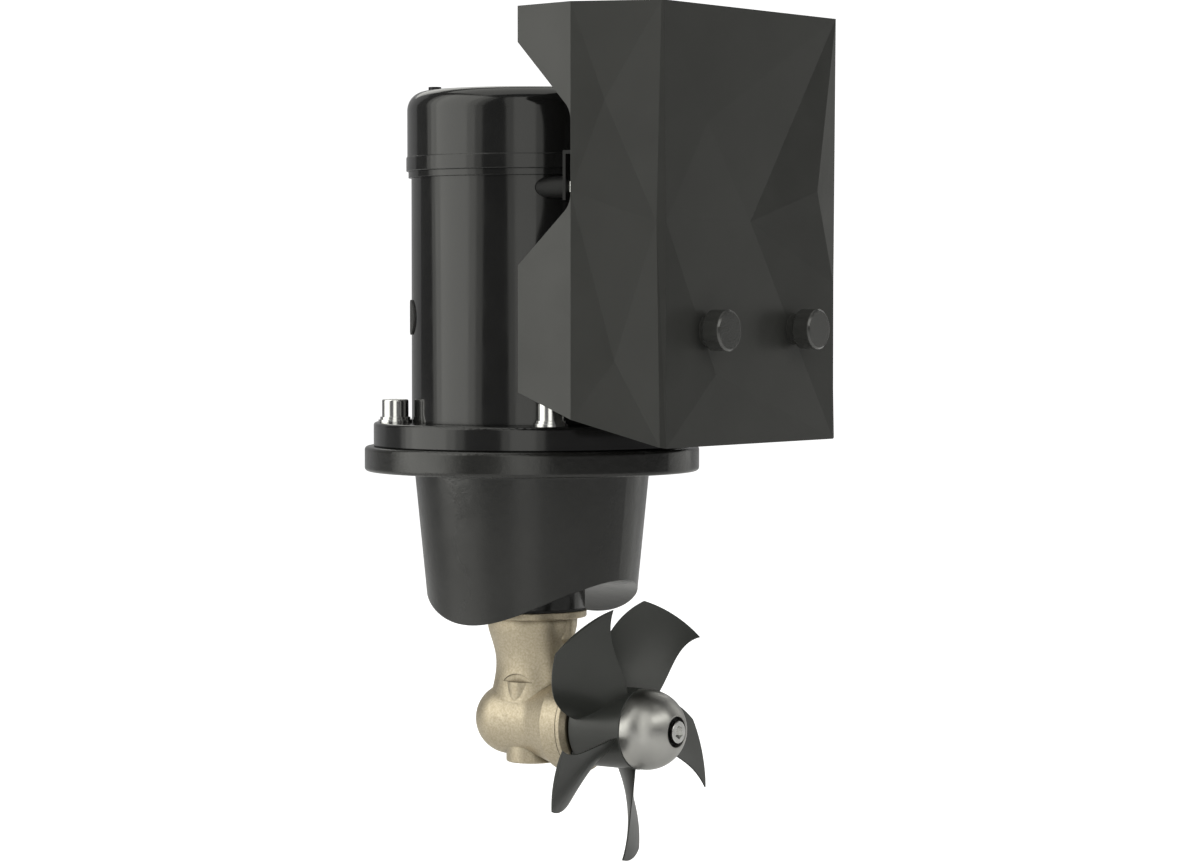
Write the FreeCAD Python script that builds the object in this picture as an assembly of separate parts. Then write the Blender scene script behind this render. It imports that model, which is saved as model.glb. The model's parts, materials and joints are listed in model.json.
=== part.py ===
"""Electric tunnel thruster for a boat's bow, as separate pieces.

Millimetres. The origin is where the motor axis (Z, up) crosses the propeller axis (X).
+X points along the propeller axis to the propeller, and the control cover faces +X.
"""
import FreeCAD, Part
import os
from math import acos, atan, cos, hypot, pi, radians, sin, sqrt, tan

Vec = FreeCAD.Vector
X, Y, Z = Vec(1, 0, 0), Vec(0, 1, 0), Vec(0, 0, 1)
ORIGIN = Vec(0, 0, 0)

# Clearances
RUNNING = 0.05              # radial, a shaft or rotor in its bearing or seal
LOOSE = 0.3                 # between pieces that only lie near each other
BOLT_PLAY = 0.4             # radial, a bolt in a plain hole
OVERCUT = 2.0               # how far a cutting tool passes its surface
END_GAP = 1.0               # between the end of a shank or shaft and the bottom of its hole
WASHER_PLAY = 0.3           # radial, a washer or a lug on its screw

# Tunnel that the thruster is fitted to
TUNNEL_BORE_D = 185.0
TUNNEL_WALL = 6.0
BEDDING = 1.5               # sealant between the tunnel and the saddle
SADDLE_R = TUNNEL_BORE_D / 2 + TUNNEL_WALL + BEDDING

# Saddle flange, heights above the propeller axis
SADDLE_TOP_Z = 190.0
SADDLE_LEDGE = 6.2          # its disc past the motor flange's rim
SADDLE_DISC_T = 17.1
CUP_TOP_R = 81.0
CUP_DRAFT = 5.6             # degrees
SPIGOT_R = 36.6
CAVITY_R = 42.0             # room for the coupling
CAVITY_FLOOR_Z = 110.0
CASTING_EDGE_R = 2.5

# Motor flange and its socket screws
MOTOR_FLANGE_RIM = 14.5     # past the circle of its screws
MOTOR_FLANGE_T = 16.4
FLANGE_SPIGOT_H = 4.0       # down into the saddle's cavity
FLANGE_REGISTER_H = 3.0     # up inside the housing
FLANGE_BORE_GAP = 2.0       # round the motor shaft
FLANGE_SCREW_COUNT = 4
WASHER_TO_HOUSING = 0.2
FLANGE_SCREW_R = 6.0
FLANGE_SCREW_HEAD_R = 9.15
FLANGE_SCREW_HEAD_H = 12.0
FLANGE_SCREW_DEPTH = 12.0   # below the joint face
WASHER_R = 11.6
WASHER_T = 2.0
SPRING_WASHER_R = 10.4
SPRING_WASHER_T = 1.9
SLIT_W = 1.0

# Motor
HOUSING_R = 82.9
HOUSING_WALL = 6.0
HOUSING_H = 167.6
BRUSH_RING_PROUD = 2.0      # past the housing, as are the next two
BRUSH_RING_BORE_R = 40.0
BRUSH_RING_T = 4.4
CAP_LIP_PROUD = 3.5
CAP_LIP_H = 9.8
CAP_PROUD = 2.8
CAP_H = 54.9
CAP_EDGE_R = 13.0
CAP_WALL = 4.0
CAP_ROOF = 5.0
THROUGH_BOLT_ANGLES = (45.0, 225.0)
BOLT_TO_ARMATURE = 2.1
THROUGH_BOLT_R = 3.0
THROUGH_BOLT_HEAD_R = 4.4
THROUGH_BOLT_HEAD_H = 2.8
PORT_ANGLE = 225.0
PORT_RISE = 72.1            # above the motor flange
PORT_R = 12.0
PORT_HOLE_R = 9.0
PORT_PROUD = 1.2
MAGNET_COUNT = 4
MAGNET_SPAN = 66.0          # degrees
MAGNET_T = 14.0
MAGNET_OVERHANG = 3.0       # past each end of the armature's laminations
AIR_GAP = 1.0
ARMATURE_BASE_RISE = 26.0   # lamination stack above the motor flange's top face
ARMATURE_TOP_DROP = 31.6    # its top below the housing's top
ARMATURE_SLOTS = 18
SLOT_WIDTH = 6.0
SLOT_DEPTH = 16.0
WINDING_OVERHANG = 15.0
WINDING_SUNK = 2.0          # below the laminations' outside
WINDING_BORE_GAP = 4.0      # round the motor shaft
COMMUTATOR_R = 30.0
COMMUTATOR_H = 44.0
COMMUTATOR_BARS = 24
BAR_GAP = 1.0
BRUSH_W = 12.0
BRUSH_H = 18.0
BRUSH_L = 20.0
BRUSH_HOLDER_WALL = 1.5
BRUSH_HOLDER_L = 26.0
BRUSH_HOLDER_GAP = 3.0      # to the commutator
BRUSH_COUNT = 4

# Bearings: inner radius, outer radius, width
MOTOR_SHAFT_R = 10.0
MOTOR_BEARING_R = 23.5
MOTOR_BEARING_W = 14.0
CAP_BEARING_R = 20.0
CAP_BEARING_W = 12.0
CAP_SHAFT_R = 8.5
DRIVE_SHAFT_R = 7.0
DRIVE_BEARING_R = 14.0
DRIVE_BEARING_W = 9.0
DRIVE_BEARING_LOW_Z = 27.0
DRIVE_BEARING_HIGH_Z = 58.0
PROP_SHAFT_R = 8.0
PROP_TAIL_R = 5.0
TAIL_BEARING_R = 13.0
TAIL_BEARING_W = 8.0
TAIL_BEARING_X = -28.0
HEAD_BEARING_R = 17.5
HEAD_BEARING_W = 11.0
SEAL_R = 14.0
SEAL_W = 6.0

# Coupling between the motor shaft and the drive shaft
COUPLING_R = 30.0
COUPLING_HUB_R = 17.0
COUPLING_PLATE_T = 9.0
COUPLING_JAW_H = 14.0
COUPLING_JAWS = 3
COUPLING_JAW_SPAN = 44.0    # degrees
SPIDER_LEG_SPAN = 14.0      # degrees
SPIDER_GAP = 1.0            # inside the jaws
UPPER_HUB_H = 20.0
LOWER_HUB_H = 10.0
COUPLING_BASE_RISE = 13.0   # above the cavity's floor, clear of the leg bolts

# Gear leg
LEG_FLANGE_R = 37.7
LEG_FLANGE_T = 4.9
LEG_SEAT_Z = 76.7
GASKET_T = 1.5
NECK_TOP_X, NECK_TOP_Y = 33.2, 26.0     # half the oval neck's length and width
NECK_TOP_Z = 65.0
NECK_WAIST_X, NECK_WAIST_Y = 28.4, 18.3
NECK_WAIST_Z = 42.0
NECK_LOW_X, NECK_LOW_Y = 30.4, 18.6
NECK_LOW_Z = 25.0
BULB_R = 24.8
BULB_NOSE_X = -18.2
BULB_WALL = 4.0
FLARE_X = 10.0              # where the bulb starts to widen to its ring
LEG_RING_R = 32.4
LEG_RING_X0 = 29.2
LEG_RING_STEP = 1.8         # where the flare meets the ring
LEG_RING_X1 = 43.6
BOTTOM_BOSS_R = 18.0
BOTTOM_BOSS_Z = -28.8
SIDE_BOSS_R = 12.5
SIDE_BOSS_Y = 8.0
SIDE_BOSS_TOP_Z = 27.5
POCKET_HALF_W = 12.5        # arched pocket over each side boss
POCKET_H = 5.6
POCKET_Y = 16.2             # its back wall
LEG_BOLT_X = 27.0
LEG_BOLT_R = 4.0
LEG_BOLT_HEAD_R = 6.5
LEG_BOLT_HEAD_H = 8.0
LEG_BOSS_R = 7.5
LEG_BOSS_Z = 57.8
DRAIN_R = 5.0
DRAIN_T = 5.0

# Bearing cap at the propeller end of the leg
CAP_PLATE_T = 6.4
CAP_NOSE_R = 29.0
CAP_SPIGOT_L = 19.0
CAP_SCREW_COUNT = 4
CAP_SCREW_PITCH_R = 26.4
CAP_SCREW_R = 2.0
CAP_SCREW_HEAD_R = 3.8
CAP_SCREW_L = 14.0
CAP_SCREW_HEAD_SUNK = 4.2
ORING_R = 1.3
ORING_BACK = 4.0            # from the joint face
SEAL_X = 37.2

# Bevel gears
GEAR_MODULE = 1.5
PINION_TEETH = 16
CROWN_TEETH = 24
PRESSURE_ANGLE = 25.0
ADDENDUM = 0.8              # in modules
DEDENDUM = 1.05             # in modules
GEAR_FACE = 0.32            # tooth length as a share of the cone distance
BACKLASH = 0.12             # at the pitch circle
PINION_BORE_R = 5.0
PINION_Z0 = 12.9
PINION_Z1 = 26.0
CROWN_BACK_X = 21.0

# Propeller
PROP_TIP_R = 89.4
PROP_HUB_R = 27.6
PROP_HUB_X0 = 51.0
PROP_HUB_X1 = 93.8
PROP_BLADES = 5
PROP_PITCH = 235.0
PROP_TRAIL_X = 93.8         # where the tip's trailing corner lies
PROP_TRAIL_ANGLE = 38.5     # of the first blade's tip, from +Y towards +Z
BLADE_STATIONS = (
    # radius as a share of the tip's, trailing and leading angle, thickness as a share of the tip's radius
    (0.257, 43.0, 95.0, 0.0895),
    (0.347, 42.5, 94.5, 0.0805),
    (0.470, 43.0, 92.0, 0.0671),
    (0.615, 43.8, 88.0, 0.0548),
    (0.749, 43.6, 82.5, 0.0436),
    (0.884, 41.6, 75.3, 0.0336),
    (1.029, 36.5, 65.6, 0.0246),
)
BLADE_EDGE_T = 0.9
BLADE_REACH = 15.0          # along X, past the hub, that no blade passes
DRIVE_PIN_R = 2.5
DRIVE_PIN_L = 36.0
DRIVE_PIN_X = 57.0
PROP_THREAD_R = 6.0
PROP_WASHER_R = 13.0
PROP_WASHER_T = 2.0
PROP_NUT_FLATS = 19.0
PROP_NUT_T = 9.0
PROP_THREAD_L = 13.0

# Nose anode
ANODE_BASE_R = 27.1
ANODE_L = 28.4
ANODE_NOSE_R = 11.5
ANODE_BORE_R = 14.5
ANODE_RECESS_R = 10.5
ANODE_RECESS_DEPTH = 5.0
ANODE_SCREW_R = 4.0
ANODE_SCREW_HEAD_R = 7.5
ANODE_SCREW_HEAD_H = 5.0
ANODE_WASHER_T = 2.0

# Control cover, seen in plan: x and half width at its three upright edges
COVER_FRONT_X, COVER_FRONT_Y = 183.0, 101.0
COVER_WIDE_X, COVER_WIDE_Y = 127.0, 125.6
COVER_REAR_X, COVER_REAR_Y = 77.0, 116.0
COVER_TOP_Z = 481.4
COVER_FRONT_BOTTOM_Z = 195.7
COVER_WIDE_BOTTOM_Z = 213.8
COVER_REAR_BOTTOM_Z = 230.3
COVER_WALL = 3.0
COVER_OPENING = 30.0        # how far its hollow passes its rear and bottom
COVER_WAIST_Z = 340.5       # where the facets of the near front edge meet
COVER_FAR_WAIST_Z = 301.2   # the same on the other front edge
NOTCH_TOP_Z = 457.9
NOTCH_DEEP_TOP_Z = 412.0
NOTCH_DEEP_BOTTOM_Z = 352.0
NOTCH_BOTTOM_Z = 313.0
NOTCH_R = 15.0
FACET_RISE = 3.0            # of a side panel's middle corners
SIDE_WAIST_Z = 360.1        # where the side facets meet on the widest edge
SIDE_HIGH = (0.625, 418.5)  # share of the way to the widest edge, height
SIDE_LOW = (0.52, 251.6)
STRIP_TOP, STRIP_MID, STRIP_LOW = 1.3, 4.4, 1.9
FRONT_FACETS = (
    # out of the front plane, y, height
    (-2.5, 1.0, 342.0),
    (-0.3, -51.7, 405.9),
    (3.0, 73.7, 363.4),
    (1.6, -44.8, 242.1),
)

# Knobs that hold the cover
KNOB_Z = 270.9
KNOB_Y = 53.0
KNOB_R = 13.5
KNOB_L = 13.3
KNOB_CHAMFER = 1.2
KNOB_SEAT_PROUD = 5.0       # before the cover's front plane
KNOB_SEAT_R = 10.5
KNOB_GAP = 0.2
KNOB_THREAD_L = 10.0
SEAT_BOSS_L = 7.0           # behind the front plane
STUD_R = 4.0
STUD_HEX_FLATS = 12.0

# Control gear behind the cover
BRACKET_GAP = 15.1          # from the housing to the bracket's plate
BRACKET_FOOT_GAP = 2.0
BRACKET_T = 3.0
BRACKET_HALF_W = 66.0
BRACKET_OVER = 6.0          # above the contactors
BRACKET_FOOT_HALF_W = 36.0
BRACKET_LIFT = 6.0          # the wide part's height above the motor flange
FOOT_SCREW_BACK = 5.5       # behind the bracket's plate
FOOT_SCREW_Y = 26.0
FOOT_SCREW_R = 2.5
FOOT_SCREW_DEPTH = 9.0
FOOT_SCREW_HEAD_R = 4.25
FOOT_SCREW_HEAD_H = 5.0
CONTACTOR_W = 74.0
CONTACTOR_DEPTH = 46.0
CONTACTOR_H = 88.0
CONTACTOR_RISE = 83.6       # above the motor flange
CONTACTOR_EDGE_R = 6.0
PLUNGER_R = 9.0
PLUNGER_L = 46.0
PLUNGER_FLOOR = 4.0         # under the plunger
BRIDGE_L = 26.0
BRIDGE_W = 10.0
BRIDGE_T = 3.0
PLUNGER_Y = 18.0
PLUNGER_TRAVEL = 3.0
POWER_STUD_R = 4.0
POWER_STUD_L = 20.0
POWER_STUD_ROOT_R = 5.0     # where it is moulded in
POWER_STUD_STEP = 20.0      # from the rear pair to the front pair
BAR_W = 18.0
BAR_T = 2.5
NUT_FLATS = 13.0
NUT_T = 6.5
BAR_RISE = 9.0              # the bars' height over the contactors, to clear the bracket
TERMINAL_ANGLE = 43.5       # round the housing, from +X
TERMINAL_DROP = 8.5         # below the housing's top
TERMINAL_BACK = 6.9         # its bar's rear face behind the housing's front
TERMINAL_COLLAR_R = 7.2
TERMINAL_TAIL_L = 8.0       # inside the housing
CONNECTOR_W = 26.0
CONNECTOR_D = 14.0
CONNECTOR_H = 22.0
CONNECTOR_RISE = 21.6       # above the motor flange
CONNECTOR_WALL = 2.0
CONNECTOR_DEPTH = 14.0      # of its mouth
PIN_COUNT = 4
PIN_R = 0.9
PIN_L = 6.0

# Sizes that follow from the ones above
JOINT_Z = SADDLE_TOP_Z
FLANGE_TOP_Z = JOINT_Z + MOTOR_FLANGE_T
FLANGE_SCREW_PITCH_R = HOUSING_R + WASHER_TO_HOUSING + WASHER_R
MOTOR_FLANGE_R = FLANGE_SCREW_PITCH_R + MOTOR_FLANGE_RIM
SADDLE_DISC_R = MOTOR_FLANGE_R + SADDLE_LEDGE
HOUSING_TOP_Z = FLANGE_TOP_Z + HOUSING_H
BRUSH_RING_R = HOUSING_R + BRUSH_RING_PROUD
CAP_LIP_R = HOUSING_R + CAP_LIP_PROUD
CAP_R = HOUSING_R + CAP_PROUD
PORT_Z = FLANGE_TOP_Z + PORT_RISE
CAP_BASE_Z = HOUSING_TOP_Z + BRUSH_RING_T
CAP_TOP_Z = CAP_BASE_Z + CAP_H
SPIGOT_BASE_Z = LEG_SEAT_Z + GASKET_T
ARMATURE_Z0 = FLANGE_TOP_Z + ARMATURE_BASE_RISE
ARMATURE_Z1 = HOUSING_TOP_Z - ARMATURE_TOP_DROP
ARMATURE_R = HOUSING_R - HOUSING_WALL - MAGNET_T - AIR_GAP
THROUGH_BOLT_PITCH_R = ARMATURE_R + BOLT_TO_ARMATURE + THROUGH_BOLT_R
COMMUTATOR_Z0 = ARMATURE_Z1 + WINDING_OVERHANG + AIR_GAP
COMMUTATOR_Z1 = COMMUTATOR_Z0 + COMMUTATOR_H
CAP_BEARING_Z0 = CAP_TOP_Z - CAP_ROOF - CAP_BEARING_W
COUPLING_Z0 = CAVITY_FLOOR_Z + COUPLING_BASE_RISE
COUPLING_Z1 = COUPLING_Z0 + 2 * COUPLING_PLATE_T + COUPLING_JAW_H
PINION_PITCH_R = GEAR_MODULE * PINION_TEETH / 2
CROWN_PITCH_R = GEAR_MODULE * CROWN_TEETH / 2
CONE_DISTANCE = hypot(PINION_PITCH_R, CROWN_PITCH_R)
CAP_FACE_X = LEG_RING_X1 + CAP_PLATE_T
NOSE_X = PROP_HUB_X1 + ANODE_L
PROP_THREAD_X1 = PROP_HUB_X1 + PROP_THREAD_L
BULB_BORE_R = BULB_R - BULB_WALL
NOTCH_DEEP_X = COVER_WIDE_X
KNOB_SEAT_X = COVER_FRONT_X + KNOB_SEAT_PROUD
BRACKET_X = HOUSING_R + BRACKET_GAP
FOOT_SCREW_X = BRACKET_X - FOOT_SCREW_BACK
CONTACTOR_Z = FLANGE_TOP_Z + CONTACTOR_RISE
CONNECTOR_Z = FLANGE_TOP_Z + CONNECTOR_RISE
BRACKET_TOP_Z = CONTACTOR_Z + CONTACTOR_H + BRACKET_OVER
CONTACTOR_MID_X = BRACKET_X + BRACKET_T + CONTACTOR_DEPTH / 2
PLUNGER_Z0 = CONTACTOR_Z + PLUNGER_FLOOR
CHAMBER_Z0 = PLUNGER_Z0 + PLUNGER_L
CHAMBER_Z1 = CHAMBER_Z0 + BRIDGE_T + PLUNGER_TRAVEL + 4.0
TERMINAL_Y = HOUSING_R * sin(radians(TERMINAL_ANGLE))
TERMINAL_Z = HOUSING_TOP_Z - TERMINAL_DROP
TERMINAL_FACE_X = HOUSING_R - TERMINAL_BACK
TERMINAL_NUT_X = TERMINAL_FACE_X + BAR_T


def cylinder(radius, start, end, axis=Z, at=ORIGIN):
    """A round bar along an axis through a point, from start to end along it."""
    return Part.makeCylinder(radius, end - start, at + axis * start, axis)


def tube(outer, inner, start, end, axis=Z, at=ORIGIN):
    bar = cylinder(outer, start, end, axis, at)
    return bar.cut(cylinder(inner, start - OVERCUT, end + OVERCUT, axis, at))


def corner_wire(corners):
    """Closed wire in the XZ plane; a corner is (x, z) or (x, z, radius)."""
    count = len(corners)
    places = [Vec(c[0], 0, c[1]) for c in corners]
    starts, middles, ends = [], [], []
    for i, corner in enumerate(corners):
        here = places[i]
        radius = corner[2] if len(corner) > 2 else 0
        if not radius:
            starts.append(here)
            middles.append(None)
            ends.append(here)
            continue
        back = (places[i - 1] - here).normalize()
        ahead = (places[(i + 1) % count] - here).normalize()
        half = back.getAngle(ahead) / 2
        inward = (back + ahead).normalize()
        starts.append(here + back * (radius / tan(half)))
        ends.append(here + ahead * (radius / tan(half)))
        middles.append(here + inward * (radius / sin(half) - radius))
    edges = []
    for i in range(count):
        if ends[i - 1].distanceToPoint(starts[i]) > 1e-6:
            edges.append(Part.LineSegment(ends[i - 1], starts[i]).toShape())
        if middles[i] is not None:
            edges.append(Part.Arc(starts[i], middles[i], ends[i]).toShape())
    return Part.Wire(edges)


def turned(corners):
    """Solid of revolution about Z; corners are (radius, height[, corner radius])."""
    return Part.Face(corner_wire(corners)).revolve(ORIGIN, Z, 360)


def turned_x(corners):
    """Solid of revolution about X; corners are (radius, x[, corner radius])."""
    shape = turned(corners)
    shape.rotate(ORIGIN, Y, 90)
    return shape


def fused(shapes):
    return shapes[0].multiFuse(shapes[1:]).removeSplitter()


def around(shape, count, axis=Z, first=0.0):
    """Copies of a shape spread evenly round an axis."""
    copies = []
    for i in range(count):
        copy = shape.copy()
        copy.rotate(ORIGIN, axis, first + 360.0 * i / count)
        copies.append(copy)
    return copies


def box(x0, x1, y0, y1, z0, z1):
    return Part.makeBox(x1 - x0, y1 - y0, z1 - z0, Vec(x0, y0, z0))


def hexagon(flats, start, end, axis=Z, at=ORIGIN):
    """Hexagonal bar; flats is the size across its flats."""
    turn = FreeCAD.Rotation(Z, axis)
    corners = []
    for i in range(7):
        angle = radians(60 * i)
        flat_corner = Vec(cos(angle), sin(angle), 0) * (flats / sqrt(3))
        corners.append(at + turn.multVec(flat_corner) + axis * start)
    return Part.Face(Part.makePolygon(corners)).extrude(axis * (end - start))


def placed(shape, at, axis=Z):
    """A copy of a shape made on +Z at the origin, turned to an axis and moved."""
    copy = shape.copy()
    copy.Placement = FreeCAD.Placement(at, FreeCAD.Rotation(Z, axis))
    return copy


def radial(angle):
    return Vec(cos(radians(angle)), sin(radians(angle)), 0)


def sector(inner, outer, middle, span, z0, z1):
    """Part of a ring about Z, spread evenly to both sides of the middle angle."""
    face = Part.Face(corner_wire([(inner, z0), (outer, z0), (outer, z1), (inner, z1)]))
    piece = face.revolve(ORIGIN, Z, span)
    piece.rotate(ORIGIN, Z, middle - span / 2)
    return piece


def socket_screw(shank_r, length, head_r, head_h):
    """Socket head screw that stands on z = 0, with its shank below."""
    head = turned([(0, 0), (head_r, 0), (head_r, head_h, head_h / 10), (0, head_h)])
    socket = hexagon(head_r * 1.1, head_h * 0.5, head_h + OVERCUT)
    return head.fuse(cylinder(shank_r, -length, 0)).cut(socket).removeSplitter()


def hex_nut(bore, flats, height):
    """Hexagon nut on z = 0 with both faces chamfered."""
    corner = flats / sqrt(3)
    bevel = corner - flats / 2
    blank = turned([(bore, 0), (corner - bevel, 0), (corner, bevel * 0.6),
                    (corner, height - bevel * 0.6), (corner - bevel, height), (bore, height)])
    return hexagon(flats, 0, height).common(blank)


def bearing(bore, outer, start, width, turn=turned):
    """Sealed ball bearing: its shields lie a little below the faces of its races."""
    race = (outer - bore) * 0.22
    sunk = 0.6
    end = start + width
    return turn([
        (bore, start), (bore + race, start), (bore + race, start + sunk),
        (outer - race, start + sunk), (outer - race, start), (outer, start, 0.5),
        (outer, end, 0.5), (outer - race, end), (outer - race, end - sunk),
        (bore + race, end - sunk), (bore + race, end), (bore, end)])


def polar_points(radius, count, first, z):
    return [radial(first + 360.0 * i / count) * radius + Z * z for i in range(count)]


def flange_screw_points(z):
    return polar_points(FLANGE_SCREW_PITCH_R, FLANGE_SCREW_COUNT, 180.0 / FLANGE_SCREW_COUNT, z)


def through_bolt_points(z):
    return [radial(a) * THROUGH_BOLT_PITCH_R + Z * z for a in THROUGH_BOLT_ANGLES]


def terminal_points(x):
    return [Vec(x, side * TERMINAL_Y, TERMINAL_Z) for side in (-1, 1)]


def leg_bolt_points(z):
    return [Vec(-LEG_BOLT_X, 0, z), Vec(LEG_BOLT_X, 0, z)]


# Saddle flange and motor flange

def saddle_flange():
    """Cast flange on a tapered cup that is hollowed underneath to sit across the tunnel."""
    disc_z = SADDLE_TOP_Z - SADDLE_DISC_T
    cup_z = sqrt(SADDLE_R ** 2 - CUP_TOP_R ** 2) - OVERCUT
    cup_r = CUP_TOP_R - (disc_z - cup_z) * tan(radians(CUP_DRAFT))
    body = turned([
        (0, cup_z), (cup_r, cup_z), (CUP_TOP_R, disc_z, CASTING_EDGE_R),
        (SADDLE_DISC_R, disc_z, CASTING_EDGE_R), (SADDLE_DISC_R, SADDLE_TOP_Z, CASTING_EDGE_R),
        (0, SADDLE_TOP_Z)])
    body = body.cut(cylinder(SADDLE_R, -SADDLE_DISC_R, SADDLE_DISC_R, X))
    spigot = cylinder(SPIGOT_R, SPIGOT_BASE_Z, CAVITY_FLOOR_Z)
    body = body.fuse(spigot)
    cuts = [cylinder(CAVITY_R, CAVITY_FLOOR_Z, SADDLE_TOP_Z + OVERCUT),
            cylinder(DRIVE_BEARING_R, SPIGOT_BASE_Z - OVERCUT, CAVITY_FLOOR_Z + OVERCUT)]
    for point in leg_bolt_points(SPIGOT_BASE_Z):
        cuts.append(cylinder(LEG_BOLT_R + BOLT_PLAY, -OVERCUT, CAVITY_FLOOR_Z, Z, point))
    for point in flange_screw_points(SADDLE_TOP_Z):
        cuts.append(cylinder(FLANGE_SCREW_R, -FLANGE_SCREW_DEPTH, OVERCUT, Z, point))
    return body.cut(Part.makeCompound(cuts)).removeSplitter()


def motor_flange():
    """Round plate that carries the motor and its lower bearing."""
    low = JOINT_Z - FLANGE_SPIGOT_H
    register = FLANGE_TOP_Z + FLANGE_REGISTER_H
    spigot_r = CAVITY_R - LOOSE
    register_r = HOUSING_R - HOUSING_WALL
    body = turned([
        (0, low), (spigot_r, low, 1), (spigot_r, JOINT_Z),
        (MOTOR_FLANGE_R, JOINT_Z, 1), (MOTOR_FLANGE_R, FLANGE_TOP_Z, 2),
        (register_r, FLANGE_TOP_Z), (register_r, register, 1),
        (register_r - MAGNET_T, register), (register_r - MAGNET_T, FLANGE_TOP_Z),
        (0, FLANGE_TOP_Z)])
    cuts = [cylinder(MOTOR_BEARING_R, FLANGE_TOP_Z - MOTOR_BEARING_W, FLANGE_TOP_Z + OVERCUT),
            cylinder(MOTOR_SHAFT_R + FLANGE_BORE_GAP, low - OVERCUT, FLANGE_TOP_Z)]
    for point in flange_screw_points(JOINT_Z):
        cuts.append(cylinder(FLANGE_SCREW_R + BOLT_PLAY, -OVERCUT, MOTOR_FLANGE_T + OVERCUT, Z, point))
    for point in through_bolt_points(FLANGE_TOP_Z):
        cuts.append(cylinder(THROUGH_BOLT_R, -MOTOR_FLANGE_T / 2, MOTOR_FLANGE_T, Z, point))
    for point in foot_screw_points(FLANGE_TOP_Z):
        cuts.append(cylinder(FOOT_SCREW_R, -FOOT_SCREW_DEPTH, OVERCUT, Z, point))
    return body.cut(Part.makeCompound(cuts)).removeSplitter()


def flange_screws():
    rise = WASHER_T + SPRING_WASHER_T
    length = rise + MOTOR_FLANGE_T + FLANGE_SCREW_DEPTH - END_GAP
    screw = socket_screw(FLANGE_SCREW_R, length, FLANGE_SCREW_HEAD_R, FLANGE_SCREW_HEAD_H)
    return Part.makeCompound([placed(screw, p) for p in flange_screw_points(FLANGE_TOP_Z + rise)])


def flange_washers():
    """A plain washer under each screw, and on it a spring washer pressed flat, with its slit."""
    bore = FLANGE_SCREW_R + WASHER_PLAY
    top = WASHER_T + SPRING_WASHER_T
    plain = tube(WASHER_R, bore, 0, WASHER_T)
    sprung = tube(SPRING_WASHER_R, bore, WASHER_T, top)
    sprung = sprung.cut(box(0, WASHER_R, -SLIT_W / 2, SLIT_W / 2, WASHER_T - OVERCUT, top + OVERCUT))
    pair = Part.makeCompound([plain, sprung])
    return Part.makeCompound([placed(pair, p) for p in flange_screw_points(FLANGE_TOP_Z)])


# Motor, fixed pieces

def motor_housing():
    body = tube(HOUSING_R, HOUSING_R - HOUSING_WALL, FLANGE_TOP_Z, HOUSING_TOP_Z)
    holes = [cylinder(PORT_HOLE_R, HOUSING_R / 2, HOUSING_R + OVERCUT, radial(PORT_ANGLE), Z * PORT_Z)]
    holes += [cylinder(TERMINAL_COLLAR_R, 0, HOUSING_R + OVERCUT, X, p) for p in terminal_points(0)]
    return body.cut(Part.makeCompound(holes))


def port_plug():
    """Rubber plug whose rim lies on the round housing."""
    way = radial(PORT_ANGLE)
    z0, z1 = PORT_Z - PORT_R - OVERCUT, PORT_Z + PORT_R + OVERCUT
    rim = cylinder(PORT_R, HOUSING_R / 2, HOUSING_R + PORT_R, way, Z * PORT_Z)
    rim = rim.common(tube(HOUSING_R + PORT_PROUD, HOUSING_R, z0, z1))
    stem = cylinder(PORT_HOLE_R, HOUSING_R / 2, HOUSING_R + PORT_R, way, Z * PORT_Z)
    stem = stem.common(tube(HOUSING_R + PORT_PROUD, HOUSING_R - HOUSING_WALL, z0, z1))
    return rim.fuse(stem).removeSplitter()


def field_magnets():
    outer = HOUSING_R - HOUSING_WALL
    z0, z1 = ARMATURE_Z0 - MAGNET_OVERHANG, ARMATURE_Z1 + MAGNET_OVERHANG
    step = 360.0 / MAGNET_COUNT
    return Part.makeCompound([sector(outer - MAGNET_T, outer, i * step, MAGNET_SPAN, z0, z1)
                              for i in range(MAGNET_COUNT)])


def brush_ring():
    """Ring between the housing and the cap that carries the brush holders."""
    body = tube(BRUSH_RING_R, BRUSH_RING_BORE_R, HOUSING_TOP_Z, CAP_BASE_Z)
    holes = [cylinder(THROUGH_BOLT_R + BOLT_PLAY, -OVERCUT, BRUSH_RING_T + OVERCUT, Z, p)
             for p in through_bolt_points(HOUSING_TOP_Z)]
    return body.cut(Part.makeCompound(holes))


def brush_holders():
    """Open brass boxes that guide the brushes towards the commutator."""
    x0 = COMMUTATOR_R + BRUSH_HOLDER_GAP
    x1 = x0 + BRUSH_HOLDER_L
    half = BRUSH_W / 2 + BRUSH_HOLDER_WALL
    top = CAP_BASE_Z + BRUSH_H + 2 * BRUSH_HOLDER_WALL
    holder = box(x0, x1, -half, half, CAP_BASE_Z, top)
    way = box(x0 - OVERCUT, x1 + OVERCUT, -BRUSH_W / 2, BRUSH_W / 2,
              CAP_BASE_Z + BRUSH_HOLDER_WALL, top - BRUSH_HOLDER_WALL)
    return Part.makeCompound(around(holder.cut(way), BRUSH_COUNT))


def brush_block(x0, x1):
    z0 = CAP_BASE_Z + BRUSH_HOLDER_WALL
    return box(x0, x1, -BRUSH_W / 2, BRUSH_W / 2, z0, z0 + BRUSH_H)


def brushes():
    brush = brush_block(COMMUTATOR_R - OVERCUT, COMMUTATOR_R + BRUSH_L)
    brush = brush.cut(cylinder(COMMUTATOR_R + RUNNING, CAP_BASE_Z, CAP_TOP_Z))
    return Part.makeCompound(around(brush, BRUSH_COUNT))


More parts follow.
